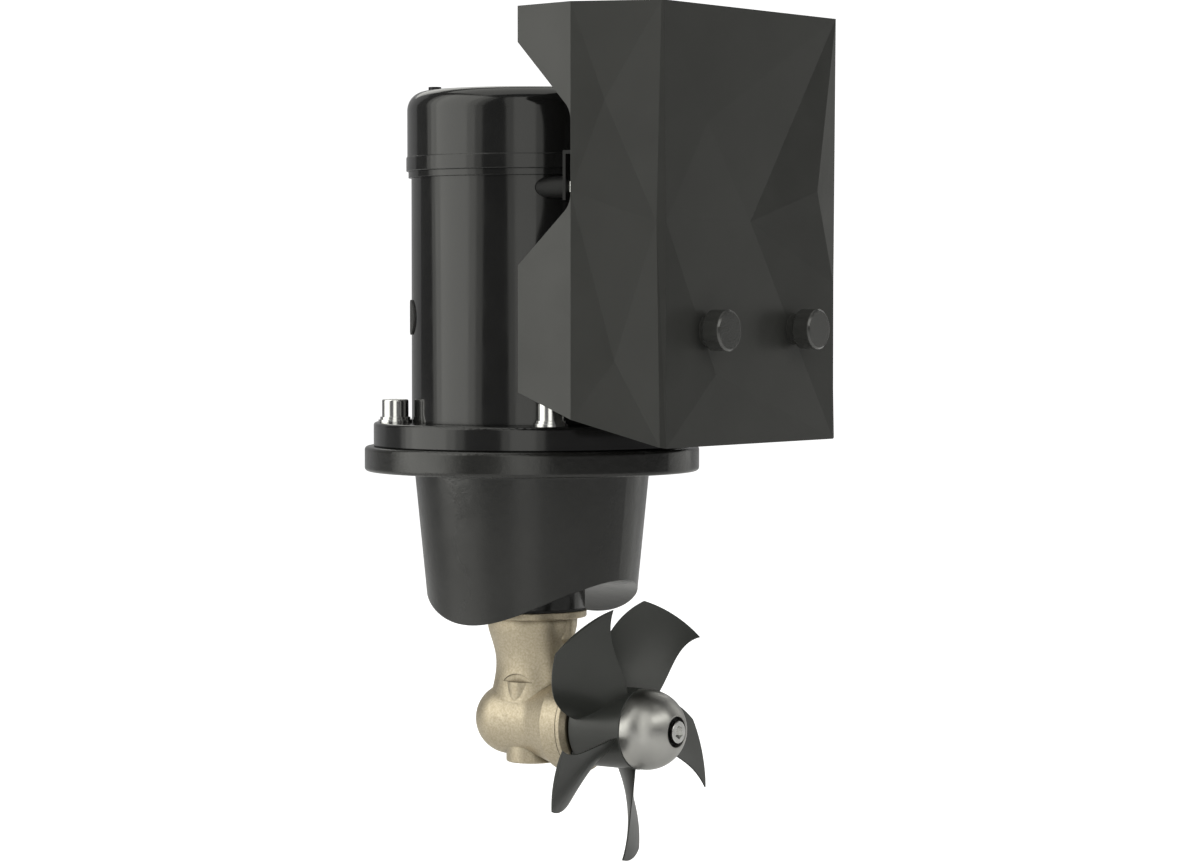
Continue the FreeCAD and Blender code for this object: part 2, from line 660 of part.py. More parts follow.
def brush_springs():
    """Bent strips that hook over each holder and press on the brush's outer end."""
    x0 = COMMUTATOR_R + BRUSH_L
    x1 = COMMUTATOR_R + BRUSH_HOLDER_GAP + BRUSH_HOLDER_L
    z0 = CAP_BASE_Z + BRUSH_HOLDER_WALL + 4.0
    top = CAP_BASE_Z + BRUSH_H + 2 * BRUSH_HOLDER_WALL
    strip = 0.8
    wire = corner_wire([
        (x0, z0), (x0 + strip, z0), (x0 + strip, z0 + 6.0, 1.0), (x1 + 2 * strip, top - 4.0, 1.0),
        (x1 + 2 * strip, top + strip, 1.0), (x0 - 4.0, top + strip), (x0 - 4.0, top),
        (x1 + strip, top, 0.3), (x1 + strip, top - 4.0, 0.3), (x0, z0 + 7.0, 0.3)])
    leaf = Part.Face(wire).extrude(Y * (BRUSH_W / 2))
    leaf.translate(Y * (-BRUSH_W / 4))
    return Part.makeCompound(around(leaf, BRUSH_COUNT))


def motor_end_cap():
    """Deep cap with a rounded edge, the upper bearing's hub and posts for the through bolts."""
    inner = CAP_R - CAP_WALL
    roof = CAP_TOP_Z - CAP_ROOF
    lip_z = CAP_BASE_Z + CAP_LIP_H
    shell = turned([
        (0, roof), (inner, roof, CAP_EDGE_R - CAP_WALL), (inner, CAP_BASE_Z),
        (CAP_LIP_R, CAP_BASE_Z, 0.5), (CAP_LIP_R, lip_z, 0.5), (CAP_R, lip_z),
        (CAP_R, CAP_TOP_Z, CAP_EDGE_R), (0, CAP_TOP_Z)])
    hub_wall, post_r = 5.0, 6.5
    hub = tube(CAP_BEARING_R + hub_wall, CAP_BEARING_R, CAP_BEARING_Z0, roof)
    posts = [cylinder(post_r, 0, roof - CAP_BASE_Z, Z, p) for p in through_bolt_points(CAP_BASE_Z)]
    body = fused([shell, hub] + posts)
    holes = [cylinder(THROUGH_BOLT_R + BOLT_PLAY, -OVERCUT, CAP_H + OVERCUT, Z, p)
             for p in through_bolt_points(CAP_BASE_Z)]
    return body.cut(Part.makeCompound(holes))


def motor_bearing_lower():
    return bearing(MOTOR_SHAFT_R + RUNNING, MOTOR_BEARING_R, FLANGE_TOP_Z - MOTOR_BEARING_W, MOTOR_BEARING_W)


def motor_bearing_upper():
    return bearing(CAP_SHAFT_R + RUNNING, CAP_BEARING_R, CAP_BEARING_Z0, CAP_BEARING_W)


def through_bolts():
    length = CAP_TOP_Z - FLANGE_TOP_Z + MOTOR_FLANGE_T / 2 - END_GAP
    bolt = socket_screw(THROUGH_BOLT_R, length, THROUGH_BOLT_HEAD_R, THROUGH_BOLT_HEAD_H)
    return Part.makeCompound([placed(bolt, p) for p in through_bolt_points(CAP_TOP_Z)])


# Motor, turning pieces

def motor_shaft():
    """Stepped shaft from the coupling up to the cap's bearing."""
    low = COUPLING_Z1 - COUPLING_PLATE_T + END_GAP
    step = CAP_BEARING_Z0 - END_GAP
    top = CAP_TOP_Z - CAP_ROOF - END_GAP
    return turned([(0, low), (MOTOR_SHAFT_R, low, 1), (MOTOR_SHAFT_R, step),
                   (CAP_SHAFT_R, step), (CAP_SHAFT_R, top, 1), (0, top)])


def armature_core():
    """Stack of laminations with straight slots for the windings."""
    body = tube(ARMATURE_R, MOTOR_SHAFT_R, ARMATURE_Z0, ARMATURE_Z1)
    floor = ARMATURE_R - SLOT_DEPTH
    slot = box(floor, ARMATURE_R + OVERCUT, -SLOT_WIDTH / 2, SLOT_WIDTH / 2,
               ARMATURE_Z0 - OVERCUT, ARMATURE_Z1 + OVERCUT)
    return body.cut(Part.makeCompound(around(slot, ARMATURE_SLOTS)))


def armature_windings():
    """Copper in the slots, joined above and below the stack by the end turns."""
    floor = ARMATURE_R - SLOT_DEPTH + LOOSE
    half = SLOT_WIDTH / 2 - LOOSE
    inner, outer = MOTOR_SHAFT_R + WINDING_BORE_GAP, ARMATURE_R - WINDING_SUNK
    bar = box(floor, outer, -half, half, ARMATURE_Z0, ARMATURE_Z1)
    low = ARMATURE_Z0 - WINDING_OVERHANG
    lower = turned([(inner, low, 4), (outer, low, 6), (outer, ARMATURE_Z0), (inner, ARMATURE_Z0)])
    upper = lower.mirror(Z * ((ARMATURE_Z0 + ARMATURE_Z1) / 2), Z)
    return fused([lower, upper] + around(bar, ARMATURE_SLOTS))


def commutator():
    """Copper bars round the shaft with narrow gaps between them."""
    riser_h, riser_r, gap_depth = 5.0, COMMUTATOR_R + 5.0, 1.5
    body = turned([
        (MOTOR_SHAFT_R, COMMUTATOR_Z0), (riser_r, COMMUTATOR_Z0), (riser_r, COMMUTATOR_Z0 + riser_h),
        (COMMUTATOR_R, COMMUTATOR_Z0 + riser_h), (COMMUTATOR_R, COMMUTATOR_Z1), (MOTOR_SHAFT_R, COMMUTATOR_Z1)])
    gap = box(COMMUTATOR_R - gap_depth, riser_r + OVERCUT, -BAR_GAP / 2, BAR_GAP / 2,
              COMMUTATOR_Z0 - OVERCUT, COMMUTATOR_Z1 + OVERCUT)
    return body.cut(Part.makeCompound(around(gap, COMMUTATOR_BARS)))


# Coupling and drive shaft

def coupling_half(bore, hub_h, first):
    """Jaw coupling half on z = 0, jaws up and hub down."""
    plate = tube(COUPLING_R, bore, 0, COUPLING_PLATE_T)
    hub = tube(COUPLING_HUB_R, bore, -hub_h, 0)
    step = 360.0 / COUPLING_JAWS
    jaws = [sector(COUPLING_HUB_R, COUPLING_R, first + i * step, COUPLING_JAW_SPAN, COUPLING_PLATE_T,
                   COUPLING_PLATE_T + COUPLING_JAW_H - LOOSE) for i in range(COUPLING_JAWS)]
    return fused([plate, hub] + jaws)


def coupling_lower():
    half = coupling_half(DRIVE_SHAFT_R, LOWER_HUB_H, 0.0)
    half.translate(Z * COUPLING_Z0)
    return half


def coupling_upper():
    half = coupling_half(MOTOR_SHAFT_R, UPPER_HUB_H, 180.0 / COUPLING_JAWS)
    half.rotate(ORIGIN, X, 180)
    half.translate(Z * COUPLING_Z1)
    return half


def coupling_spider():
    """Rubber star whose legs lie between the jaws."""
    z0 = COUPLING_Z0 + COUPLING_PLATE_T
    z1 = z0 + COUPLING_JAW_H
    legs = 2 * COUPLING_JAWS
    core = cylinder(COUPLING_HUB_R - SPIDER_GAP, z0, z1)
    arms = [sector(COUPLING_HUB_R / 2, COUPLING_R, (i + 0.5) * 360.0 / legs, SPIDER_LEG_SPAN, z0, z1)
            for i in range(legs)]
    return fused([core] + arms)


def drive_shaft():
    """Upright shaft from the pinion to the lower coupling half."""
    low = PINION_Z0
    shoulder = PINION_Z1
    top = COUPLING_Z0 + COUPLING_PLATE_T - END_GAP
    return turned([(0, low), (PINION_BORE_R, low, 0.5), (PINION_BORE_R, shoulder),
                   (DRIVE_SHAFT_R, shoulder), (DRIVE_SHAFT_R, top, 1), (0, top)])


# Bevel gears, each made about Z with the shaft axes' crossing at the origin

def cone_place(own_r, other_r, above, scale=1.0):
    """Radius and height of a tooth's end, so far above the pitch cone, at a share of its length."""
    tilt = atan(own_r / other_r)
    along = own_r / cos(tilt) + above
    apex = CONE_DISTANCE / cos(tilt)
    return along * cos(tilt) * scale, (apex - along * sin(tilt)) * scale


def tooth_wedge(teeth, own_r, other_r, lowest, highest):
    """Pyramid towards the crossing whose sides are one tooth's flanks, centred on +X."""
    tilt = atan(own_r / other_r)
    back_r = own_r / cos(tilt)
    pressure = radians(PRESSURE_ANGLE)
    base_r = back_r * cos(pressure)
    half_pitch = (pi * GEAR_MODULE / 4 - BACKLASH / 2) / back_r
    steps = 5
    flank = []
    for i in range(steps + 1):
        above = lowest + (highest - lowest) * i / steps
        along = back_r + above
        slope = acos(min(1.0, base_r / along))
        half = half_pitch + (tan(pressure) - pressure) - (tan(slope) - slope)
        radius, height = cone_place(own_r, other_r, above)
        turn = half / cos(tilt)
        flank.append(Vec(radius * cos(turn), radius * sin(turn), height))
    ring = flank + [Vec(p.x, -p.y, p.z) for p in reversed(flank)]
    top = other_r * 1.2
    wires = []
    for level in (top, top * 0.5):
        corners = [p * (level / p.z) for p in ring]
        wires.append(Part.makePolygon(corners + corners[:1]))
    return Part.makeLoft(wires, True, True)


def bevel_gear(teeth, own_r, other_r, bore, hub_r, back_z):
    """Straight bevel gear with its hub on the side away from the crossing."""
    high = ADDENDUM * GEAR_MODULE
    low = -DEDENDUM * GEAR_MODULE
    short = 1.0 - GEAR_FACE
    sunk = low - 0.4
    root_big = cone_place(own_r, other_r, low)
    root_small = cone_place(own_r, other_r, low, short)
    body = turned([(bore, root_small[1]), root_small, root_big,
                   (hub_r, root_big[1] + 1.0), (hub_r, back_z), (bore, back_z)])
    band = turned([cone_place(own_r, other_r, sunk, short), cone_place(own_r, other_r, high, short),
                   cone_place(own_r, other_r, high), cone_place(own_r, other_r, sunk)])
    wedge = tooth_wedge(teeth, own_r, other_r, sunk - 0.2, high + 0.2)
    tooth = wedge.common(band)
    return fused([body] + around(tooth, teeth))


def pinion_gear():
    return bevel_gear(PINION_TEETH, PINION_PITCH_R, CROWN_PITCH_R, PINION_BORE_R,
                      PINION_PITCH_R - 3.0, PINION_Z1)


def crown_gear():
    """Gear on the propeller shaft, turned so that a gap faces the pinion's tooth."""
    gear = bevel_gear(CROWN_TEETH, CROWN_PITCH_R, PINION_PITCH_R, PROP_SHAFT_R,
                      CROWN_PITCH_R - 4.0, CROWN_BACK_X)
    gear.rotate(ORIGIN, Z, 180.0 / CROWN_TEETH)
    gear.rotate(ORIGIN, Y, 90)
    return gear


# Gear leg

def oval_neck(top):
    """Neck that is longer along the tunnel than across it, with a waist."""
    sections = ((0, NECK_LOW_X, NECK_LOW_Y), (NECK_LOW_Z, NECK_LOW_X, NECK_LOW_Y),
                (NECK_WAIST_Z, NECK_WAIST_X, NECK_WAIST_Y), (NECK_TOP_Z, NECK_TOP_X, NECK_TOP_Y),
                (top + OVERCUT, NECK_TOP_X, NECK_TOP_Y))
    rings = [Part.Wire([Part.Ellipse(Z * z, half_x, half_y).toShape()]) for z, half_x, half_y in sections]
    return Part.makeLoft(rings, True, False)


def arched_pocket(side):
    """Pocket in the neck's side with a flat floor on the side boss and an arched roof."""
    arch_r = (POCKET_HALF_W ** 2 + POCKET_H ** 2) / (2 * POCKET_H)
    middle = SIDE_BOSS_TOP_Z + POCKET_H - arch_r
    far = POCKET_Y + SIDE_BOSS_R
    y0, y1 = sorted((side * POCKET_Y, side * far))
    arch = cylinder(arch_r, y0, y1, Y, Z * middle)
    return arch.common(box(-POCKET_HALF_W, POCKET_HALF_W, y0, y1, SIDE_BOSS_TOP_Z, middle + arch_r))


def gear_leg():
    """Cast leg: round flange, oval neck, bulb with a round nose and a flared ring."""
    seat_low = LEG_SEAT_Z - LEG_FLANGE_T
    neck = oval_neck(seat_low)
    flange = turned([(0, seat_low), (LEG_FLANGE_R, seat_low, 1), (LEG_FLANGE_R, LEG_SEAT_Z, 0.6),
                     (0, LEG_SEAT_Z)])
    nose = BULB_NOSE_X - BULB_R
    bulb = turned_x([
        (0, nose), (BULB_R, nose, BULB_R), (BULB_R, FLARE_X, 25),
        (LEG_RING_R - LEG_RING_STEP, LEG_RING_X0), (LEG_RING_R, LEG_RING_X0 + LEG_RING_STEP / 2, 1),
        (LEG_RING_R, LEG_RING_X1), (0, LEG_RING_X1)])
    foot = turned([(0, BOTTOM_BOSS_Z), (BOTTOM_BOSS_R, BOTTOM_BOSS_Z, 1.5), (BOTTOM_BOSS_R, 0), (0, 0)])
    pieces = [neck, flange, bulb, foot]
    for side in (-1, 1):
        pieces.append(cylinder(SIDE_BOSS_R, 0, SIDE_BOSS_TOP_Z, Z, Y * (side * SIDE_BOSS_Y)))
    boss = turned([(0, LEG_BOSS_Z - 6), (LEG_BOSS_R / 3, LEG_BOSS_Z - 6), (LEG_BOSS_R, LEG_BOSS_Z, 2),
                   (LEG_BOSS_R, seat_low), (0, seat_low)])
    pieces += [placed(boss, p) for p in leg_bolt_points(0)]
    body = fused(pieces)
    cuts = [cylinder(DRIVE_BEARING_R, DRIVE_BEARING_LOW_Z, LEG_SEAT_Z + OVERCUT),
            cylinder(DRIVE_BEARING_R - LOOSE, 0, DRIVE_BEARING_LOW_Z),
            cylinder(BULB_BORE_R, BULB_NOSE_X, LEG_RING_X1 + OVERCUT, X),
            cylinder(TAIL_BEARING_R, TAIL_BEARING_X, BULB_NOSE_X, X),
            cylinder(PROP_TAIL_R + 1.0, TAIL_BEARING_X - 3.0, TAIL_BEARING_X, X),
            cylinder(DRAIN_R, BOTTOM_BOSS_Z - OVERCUT, BOTTOM_BOSS_Z + DRAIN_T),
            cylinder(DRAIN_R * 0.6, BOTTOM_BOSS_Z, -BULB_BORE_R / 2)]
    cuts += [arched_pocket(side) for side in (-1, 1)]
    for point in leg_bolt_points(0):
        cuts.append(cylinder(LEG_BOLT_R, LEG_BOSS_Z, LEG_SEAT_Z + OVERCUT, Z, point))
    for point in cap_screw_points(LEG_RING_X1):
        cuts.append(cylinder(CAP_SCREW_R, -CAP_SCREW_L, OVERCUT, X, point))
    return body.cut(Part.makeCompound(cuts)).removeSplitter()


def leg_gasket():
    """Flat ring between the saddle's spigot and the leg's flange."""
    ring = tube(SPIGOT_R, DRIVE_BEARING_R, LEG_SEAT_Z, SPIGOT_BASE_Z)
    holes = [cylinder(LEG_BOLT_R + BOLT_PLAY, LEG_SEAT_Z - OVERCUT, SPIGOT_BASE_Z + OVERCUT, Z, p)
             for p in leg_bolt_points(0)]
    return ring.cut(Part.makeCompound(holes))


def leg_bolts():
    length = CAVITY_FLOOR_Z - LEG_BOSS_Z - END_GAP
    bolt = socket_screw(LEG_BOLT_R, length, LEG_BOLT_HEAD_R, LEG_BOLT_HEAD_H)
    return Part.makeCompound([placed(bolt, p) for p in leg_bolt_points(CAVITY_FLOOR_Z)])


def drain_plug():
    plug = cylinder(DRAIN_R, BOTTOM_BOSS_Z, BOTTOM_BOSS_Z + DRAIN_T)
    return plug.cut(hexagon(DRAIN_R, BOTTOM_BOSS_Z - OVERCUT, BOTTOM_BOSS_Z + DRAIN_T / 2))


def drive_bearings():
    return Part.makeCompound([bearing(DRIVE_SHAFT_R + RUNNING, DRIVE_BEARING_R, z, DRIVE_BEARING_W)
                              for z in (DRIVE_BEARING_LOW_Z, DRIVE_BEARING_HIGH_Z)])


def drive_shaft_seal():
    z0 = DRIVE_BEARING_HIGH_Z + DRIVE_BEARING_W
    return turned([(DRIVE_SHAFT_R + RUNNING, z0 + 1), (DRIVE_SHAFT_R + 3, z0), (DRIVE_BEARING_R, z0, 0.5),
                   (DRIVE_BEARING_R, z0 + SEAL_W, 0.5), (DRIVE_SHAFT_R + RUNNING, z0 + SEAL_W)])


def bearing_spacer():
    """Sleeve in the neck that keeps the two drive shaft bearings apart."""
    return tube(DRIVE_BEARING_R, DRIVE_BEARING_R - 2.0, DRIVE_BEARING_LOW_Z + DRIVE_BEARING_W,
                DRIVE_BEARING_HIGH_Z)


def cap_screw_points(x):
    points = []
    for i in range(CAP_SCREW_COUNT):
        angle = radians(45 + 360.0 * i / CAP_SCREW_COUNT)
        points.append(Vec(x, CAP_SCREW_PITCH_R * cos(angle), CAP_SCREW_PITCH_R * sin(angle)))
    return points


def bearing_cap():
    """Cap with a spigot that holds the propeller shaft's front bearing and seals."""
    x0 = LEG_RING_X1 - CAP_SPIGOT_L
    seat = x0 + HEAD_BEARING_W
    spigot_r = BULB_BORE_R - RUNNING
    groove = LEG_RING_X1 - ORING_BACK
    half = ORING_R + 0.2
    body = turned_x([
        (HEAD_BEARING_R, x0), (spigot_r, x0, 0.5), (spigot_r, groove - half),
        (spigot_r - 2 * ORING_R, groove - half), (spigot_r - 2 * ORING_R, groove + half),
        (spigot_r, groove + half), (spigot_r, LEG_RING_X1), (LEG_RING_R, LEG_RING_X1, 0.5),
        (LEG_RING_R, LEG_RING_X1 + CAP_PLATE_T / 2), (CAP_NOSE_R, CAP_FACE_X, 1), (SEAL_R, CAP_FACE_X),
        (SEAL_R, seat), (HEAD_BEARING_R, seat)])
    cuts = []
    for point in cap_screw_points(LEG_RING_X1):
        cuts.append(cylinder(CAP_SCREW_R + 0.2, -OVERCUT, CAP_PLATE_T, X, point))
        cuts.append(cylinder(CAP_SCREW_HEAD_R + 0.2, CAP_PLATE_T - CAP_SCREW_HEAD_SUNK,
                             CAP_PLATE_T + OVERCUT, X, point))
    return body.cut(Part.makeCompound(cuts))


def cap_screws():
    head_h = CAP_SCREW_HEAD_SUNK - 0.3
    base = CAP_FACE_X - CAP_SCREW_HEAD_SUNK
    screw = socket_screw(CAP_SCREW_R, CAP_SCREW_L, CAP_SCREW_HEAD_R, head_h)
    return Part.makeCompound([placed(screw, p, X) for p in cap_screw_points(base)])


def cap_o_ring():
    ring_r = BULB_BORE_R - RUNNING - ORING_R
    return Part.makeTorus(ring_r, ORING_R, X * (LEG_RING_X1 - ORING_BACK), X)


def prop_bearing_head():
    return bearing(PROP_SHAFT_R + RUNNING, HEAD_BEARING_R, LEG_RING_X1 - CAP_SPIGOT_L, HEAD_BEARING_W, turned_x)


def prop_bearing_tail():
    return bearing(PROP_TAIL_R + RUNNING, TAIL_BEARING_R, TAIL_BEARING_X, TAIL_BEARING_W, turned_x)


def prop_shaft_seals():
    """Two lip seals one behind the other."""
    seals = []
    for i in range(2):
        x0 = SEAL_X + i * (SEAL_W + LOOSE)
        seals.append(turned_x([
            (PROP_SHAFT_R + 3, x0), (SEAL_R, x0, 0.5), (SEAL_R, x0 + SEAL_W, 0.5),
            (PROP_SHAFT_R + RUNNING, x0 + SEAL_W), (PROP_SHAFT_R + RUNNING, x0 + SEAL_W / 2)]))
    return Part.makeCompound(seals)


# Propeller and its shaft

def propeller_shaft():
    """Stepped shaft with a cross hole for the drive pin and a threaded end for the nut."""
    tail = TAIL_BEARING_X - END_GAP
    shoulder = TAIL_BEARING_X + TAIL_BEARING_W
    body = turned_x([
        (0, tail), (PROP_TAIL_R, tail, 0.8), (PROP_TAIL_R, shoulder), (PROP_SHAFT_R, shoulder, 0.8),
        (PROP_SHAFT_R, PROP_HUB_X1), (PROP_THREAD_R, PROP_HUB_X1), (PROP_THREAD_R, PROP_THREAD_X1, 0.8),
        (0, PROP_THREAD_X1)])
    pin_hole = cylinder(DRIVE_PIN_R, -PROP_SHAFT_R * 2, PROP_SHAFT_R * 2, Y, X * DRIVE_PIN_X)
    tapped = cylinder(ANODE_SCREW_R, PROP_HUB_X1 - 3.0, PROP_THREAD_X1 + OVERCUT, X)
    return body.cut(pin_hole).cut(tapped)


def blade_section(radius, trail, lead, thickness):
    """Lens section of a blade, flat and square to the radius through its middle."""
    middle = radians((trail + lead) / 2)
    out = Vec(0, cos(middle), sin(middle))
    aside = Vec(0, -sin(middle), cos(middle))
    pitch = PROP_PITCH / (2 * pi)
    span = radians(lead - trail)
    length = hypot(radius * span, pitch * span)
    normal = (aside * pitch + X * radius) / hypot(pitch, radius)
    faces = ([], [])
    for i in range(5):
        t = i / 4
        angle = radians(trail) + span * t
        along = X * (PROP_TRAIL_X - pitch * (angle - radians(PROP_TRAIL_ANGLE)))
        middle_line = out * radius + aside * (radius * (angle - middle)) + along
        bulge = (thickness - BLADE_EDGE_T) * (4 * t * (1 - t)) ** 0.8
        half = min((BLADE_EDGE_T + bulge) / 2, length / 4)
        faces[0].append(middle_line + normal * half)
        faces[1].append(middle_line - normal * half)
    front, back = Part.BSplineCurve(), Part.BSplineCurve()
    front.interpolate(faces[0])
    back.interpolate(faces[1][::-1])
    return Part.Wire([front.toShape(), Part.LineSegment(faces[0][-1], faces[1][-1]).toShape(),
                      back.toShape(), Part.LineSegment(faces[1][0], faces[0][0]).toShape()])


def propeller():
    """Hub with skewed blades of one pitch, cut to the tip circle."""
    hub = turned_x([(PROP_SHAFT_R, PROP_HUB_X0), (PROP_HUB_R, PROP_HUB_X0, 1.2),
                    (PROP_HUB_R, PROP_HUB_X1, 0.8), (PROP_SHAFT_R, PROP_HUB_X1)])
    sections = [blade_section(radius * PROP_TIP_R, trail, lead, thickness * PROP_TIP_R)
                for radius, trail, lead, thickness in BLADE_STATIONS]
    blade = Part.makeLoft(sections, True, False)
    blade = blade.common(cylinder(PROP_TIP_R, PROP_HUB_X0 - BLADE_REACH, PROP_HUB_X1 + BLADE_REACH, X))
    body = fused([hub] + around(blade, PROP_BLADES, X))
    half = DRIVE_PIN_L / 2 + LOOSE
    slot = box(PROP_HUB_X0 - OVERCUT, DRIVE_PIN_X + DRIVE_PIN_R, -half, half,
               -DRIVE_PIN_R - 0.1, DRIVE_PIN_R + 0.1)
    return body.cut(slot).cut(cylinder(PROP_SHAFT_R, PROP_HUB_X0 - OVERCUT, PROP_HUB_X1 + OVERCUT, X))


def drive_pin():
    return cylinder(DRIVE_PIN_R, -DRIVE_PIN_L / 2, DRIVE_PIN_L / 2, Y, X * DRIVE_PIN_X)


def propeller_washer():
    return tube(PROP_WASHER_R, PROP_THREAD_R + WASHER_PLAY, PROP_HUB_X1, PROP_HUB_X1 + PROP_WASHER_T, X)


def propeller_nut():
    nut = hex_nut(PROP_THREAD_R, PROP_NUT_FLATS, PROP_NUT_T)
    return placed(nut, X * (PROP_HUB_X1 + PROP_WASHER_T), X)


def nose_anode():
    """Domed sacrificial anode that covers the nut, with a round recess in its nose."""
    rise = (ANODE_L ** 2 - ANODE_BASE_R ** 2 + ANODE_NOSE_R ** 2) / (2 * ANODE_L)
    dome = Part.makeSphere(hypot(ANODE_BASE_R, rise), X * (PROP_HUB_X1 + rise))
    body = dome.common(cylinder(ANODE_BASE_R * 1.5, PROP_HUB_X1, NOSE_X, X))
    hollow = cylinder(ANODE_BORE_R, PROP_HUB_X1 - OVERCUT, PROP_THREAD_X1 + END_GAP, X)
    recess = cylinder(ANODE_RECESS_R, NOSE_X - ANODE_RECESS_DEPTH, NOSE_X + OVERCUT, X)
    hole = cylinder(ANODE_SCREW_R + BOLT_PLAY, PROP_HUB_X1, NOSE_X, X)
    return body.cut(Part.makeCompound([hollow, recess, hole]))


def anode_washer():
    x0 = NOSE_X - ANODE_RECESS_DEPTH
    return tube(ANODE_RECESS_R - LOOSE, ANODE_SCREW_R + WASHER_PLAY, x0, x0 + ANODE_WASHER_T, X)


def anode_screw():
    head_x = NOSE_X - ANODE_RECESS_DEPTH + ANODE_WASHER_T
    length = head_x - PROP_HUB_X1
    screw = socket_screw(ANODE_SCREW_R, length, ANODE_SCREW_HEAD_R, ANODE_SCREW_HEAD_H)
    return placed(screw, X * head_x, X)


# Control cover

def cover_solid(inset, opened):
    """Closed faceted block with its walls moved in; opened pushes its rear and bottom out."""
    front = COVER_FRONT_X - inset
    top = COVER_TOP_Z - inset
    slope = (COVER_WIDE_BOTTOM_Z - COVER_FRONT_BOTTOM_Z) / (COVER_FRONT_X - COVER_WIDE_X)
    rear_x = COVER_REAR_X - opened
    narrowing = (COVER_WIDE_Y - COVER_REAR_Y) / (COVER_WIDE_X - COVER_REAR_X)
    rear_y = COVER_REAR_Y - inset - opened * narrowing
    panel = Vec(COVER_WIDE_Y - COVER_FRONT_Y, COVER_FRONT_X - COVER_WIDE_X, 0).normalize()

    def bottom(x):
        if x > COVER_WIDE_X:
            return COVER_FRONT_BOTTOM_Z + (COVER_FRONT_X - x) * slope - opened
        return COVER_WIDE_BOTTOM_Z - opened

    def side_centre(share, height):
        x = COVER_FRONT_X + (COVER_WIDE_X - COVER_FRONT_X) * share + panel.x * (FACET_RISE - inset)
        y = COVER_FRONT_Y + (COVER_WIDE_Y - COVER_FRONT_Y) * share + panel.y * (FACET_RISE - inset)
        return x, y, height

    def side(sign, waist):
        y = COVER_FRONT_Y - inset
        x_low = front - STRIP_LOW
        places = {
            "f_top": (front, y, top),
            "f_mid": (front, y - STRIP_MID / 2, waist),
            "f_bot": (front, y - STRIP_MID / 2, bottom(front)),
            "s_top": (front - STRIP_TOP, y + STRIP_TOP, top),
            "s_mid": (front - STRIP_MID, y + STRIP_MID / 2, waist),
            "s_bot": (x_low, y + STRIP_LOW, bottom(x_low)),
            "w_top": (COVER_WIDE_X, COVER_WIDE_Y - inset, top),
            "w_mid": (COVER_WIDE_X, COVER_WIDE_Y - inset, SIDE_WAIST_Z),
            "w_bot": (COVER_WIDE_X, COVER_WIDE_Y - inset, bottom(COVER_WIDE_X)),
            "r_top": (rear_x, rear_y, top),
            "r_bot": (rear_x, rear_y, COVER_REAR_BOTTOM_Z - opened),
            "high": side_centre(*SIDE_HIGH),
            "low": side_centre(*SIDE_LOW),
        }
        return {name: Vec(p[0], sign * p[1], p[2]) for name, p in places.items()}

    near, far = side(-1, COVER_WAIST_Z), side(1, COVER_FAR_WAIST_Z)
    heart, left, right, foot = [Vec(front + rise, y, z) for rise, y, z in FRONT_FACETS]
    rings = []
    for s in (near, far):
        rings += [
            [s["w_top"], s["high"], s["w_mid"]], [s["w_top"], s["s_top"], s["high"]],
            [s["s_top"], s["s_mid"], s["high"]], [s["w_mid"], s["high"], s["s_mid"]],
            [s["w_mid"], s["low"], s["w_bot"]], [s["w_mid"], s["s_mid"], s["low"]],
            [s["s_mid"], s["s_bot"], s["low"]], [s["w_bot"], s["low"], s["s_bot"]],
            [s["s_top"], s["f_top"], s["f_mid"]], [s["s_top"], s["f_mid"], s["s_mid"]],
            [s["s_mid"], s["f_mid"], s["f_bot"]], [s["s_mid"], s["f_bot"], s["s_bot"]],
            [s["r_top"], s["w_top"], s["w_mid"], s["w_bot"], s["r_bot"]]]
    rings += [
        [near["f_top"], left, near["f_mid"]], [near["f_mid"], left, heart],
        [near["f_top"], far["f_top"], left], [left, far["f_top"], heart],
        [far["f_top"], right, heart], [far["f_top"], far["f_mid"], right],
        [heart, right, far["f_mid"]], [near["f_mid"], heart, foot],
        [heart, far["f_mid"], far["f_bot"]], [heart, far["f_bot"], foot],
        [near["f_mid"], foot, near["f_bot"]], [foot, far["f_bot"], near["f_bot"]],
        [near["f_top"], far["f_top"], far["s_top"], far["w_top"], far["r_top"],
         near["r_top"], near["w_top"], near["s_top"]],
        [near["f_bot"], far["f_bot"], far["s_bot"], far["w_bot"], near["w_bot"], near["s_bot"]],
        [near["w_bot"], far["w_bot"], far["r_bot"], near["r_bot"]],
        [near["r_top"], far["r_top"], far["r_bot"], near["r_bot"]]]
    faces = [Part.Face(Part.makePolygon(ring + ring[:1])) for ring in rings]
    shell = Part.makeShell(faces)
    shell.sewShape()
    solid = Part.makeSolid(shell)
    if solid.Volume < 0:
        solid.reverse()
    return solid


def knob_points(x):
    return [Vec(x, side * KNOB_Y, KNOB_Z) for side in (-1, 1)]


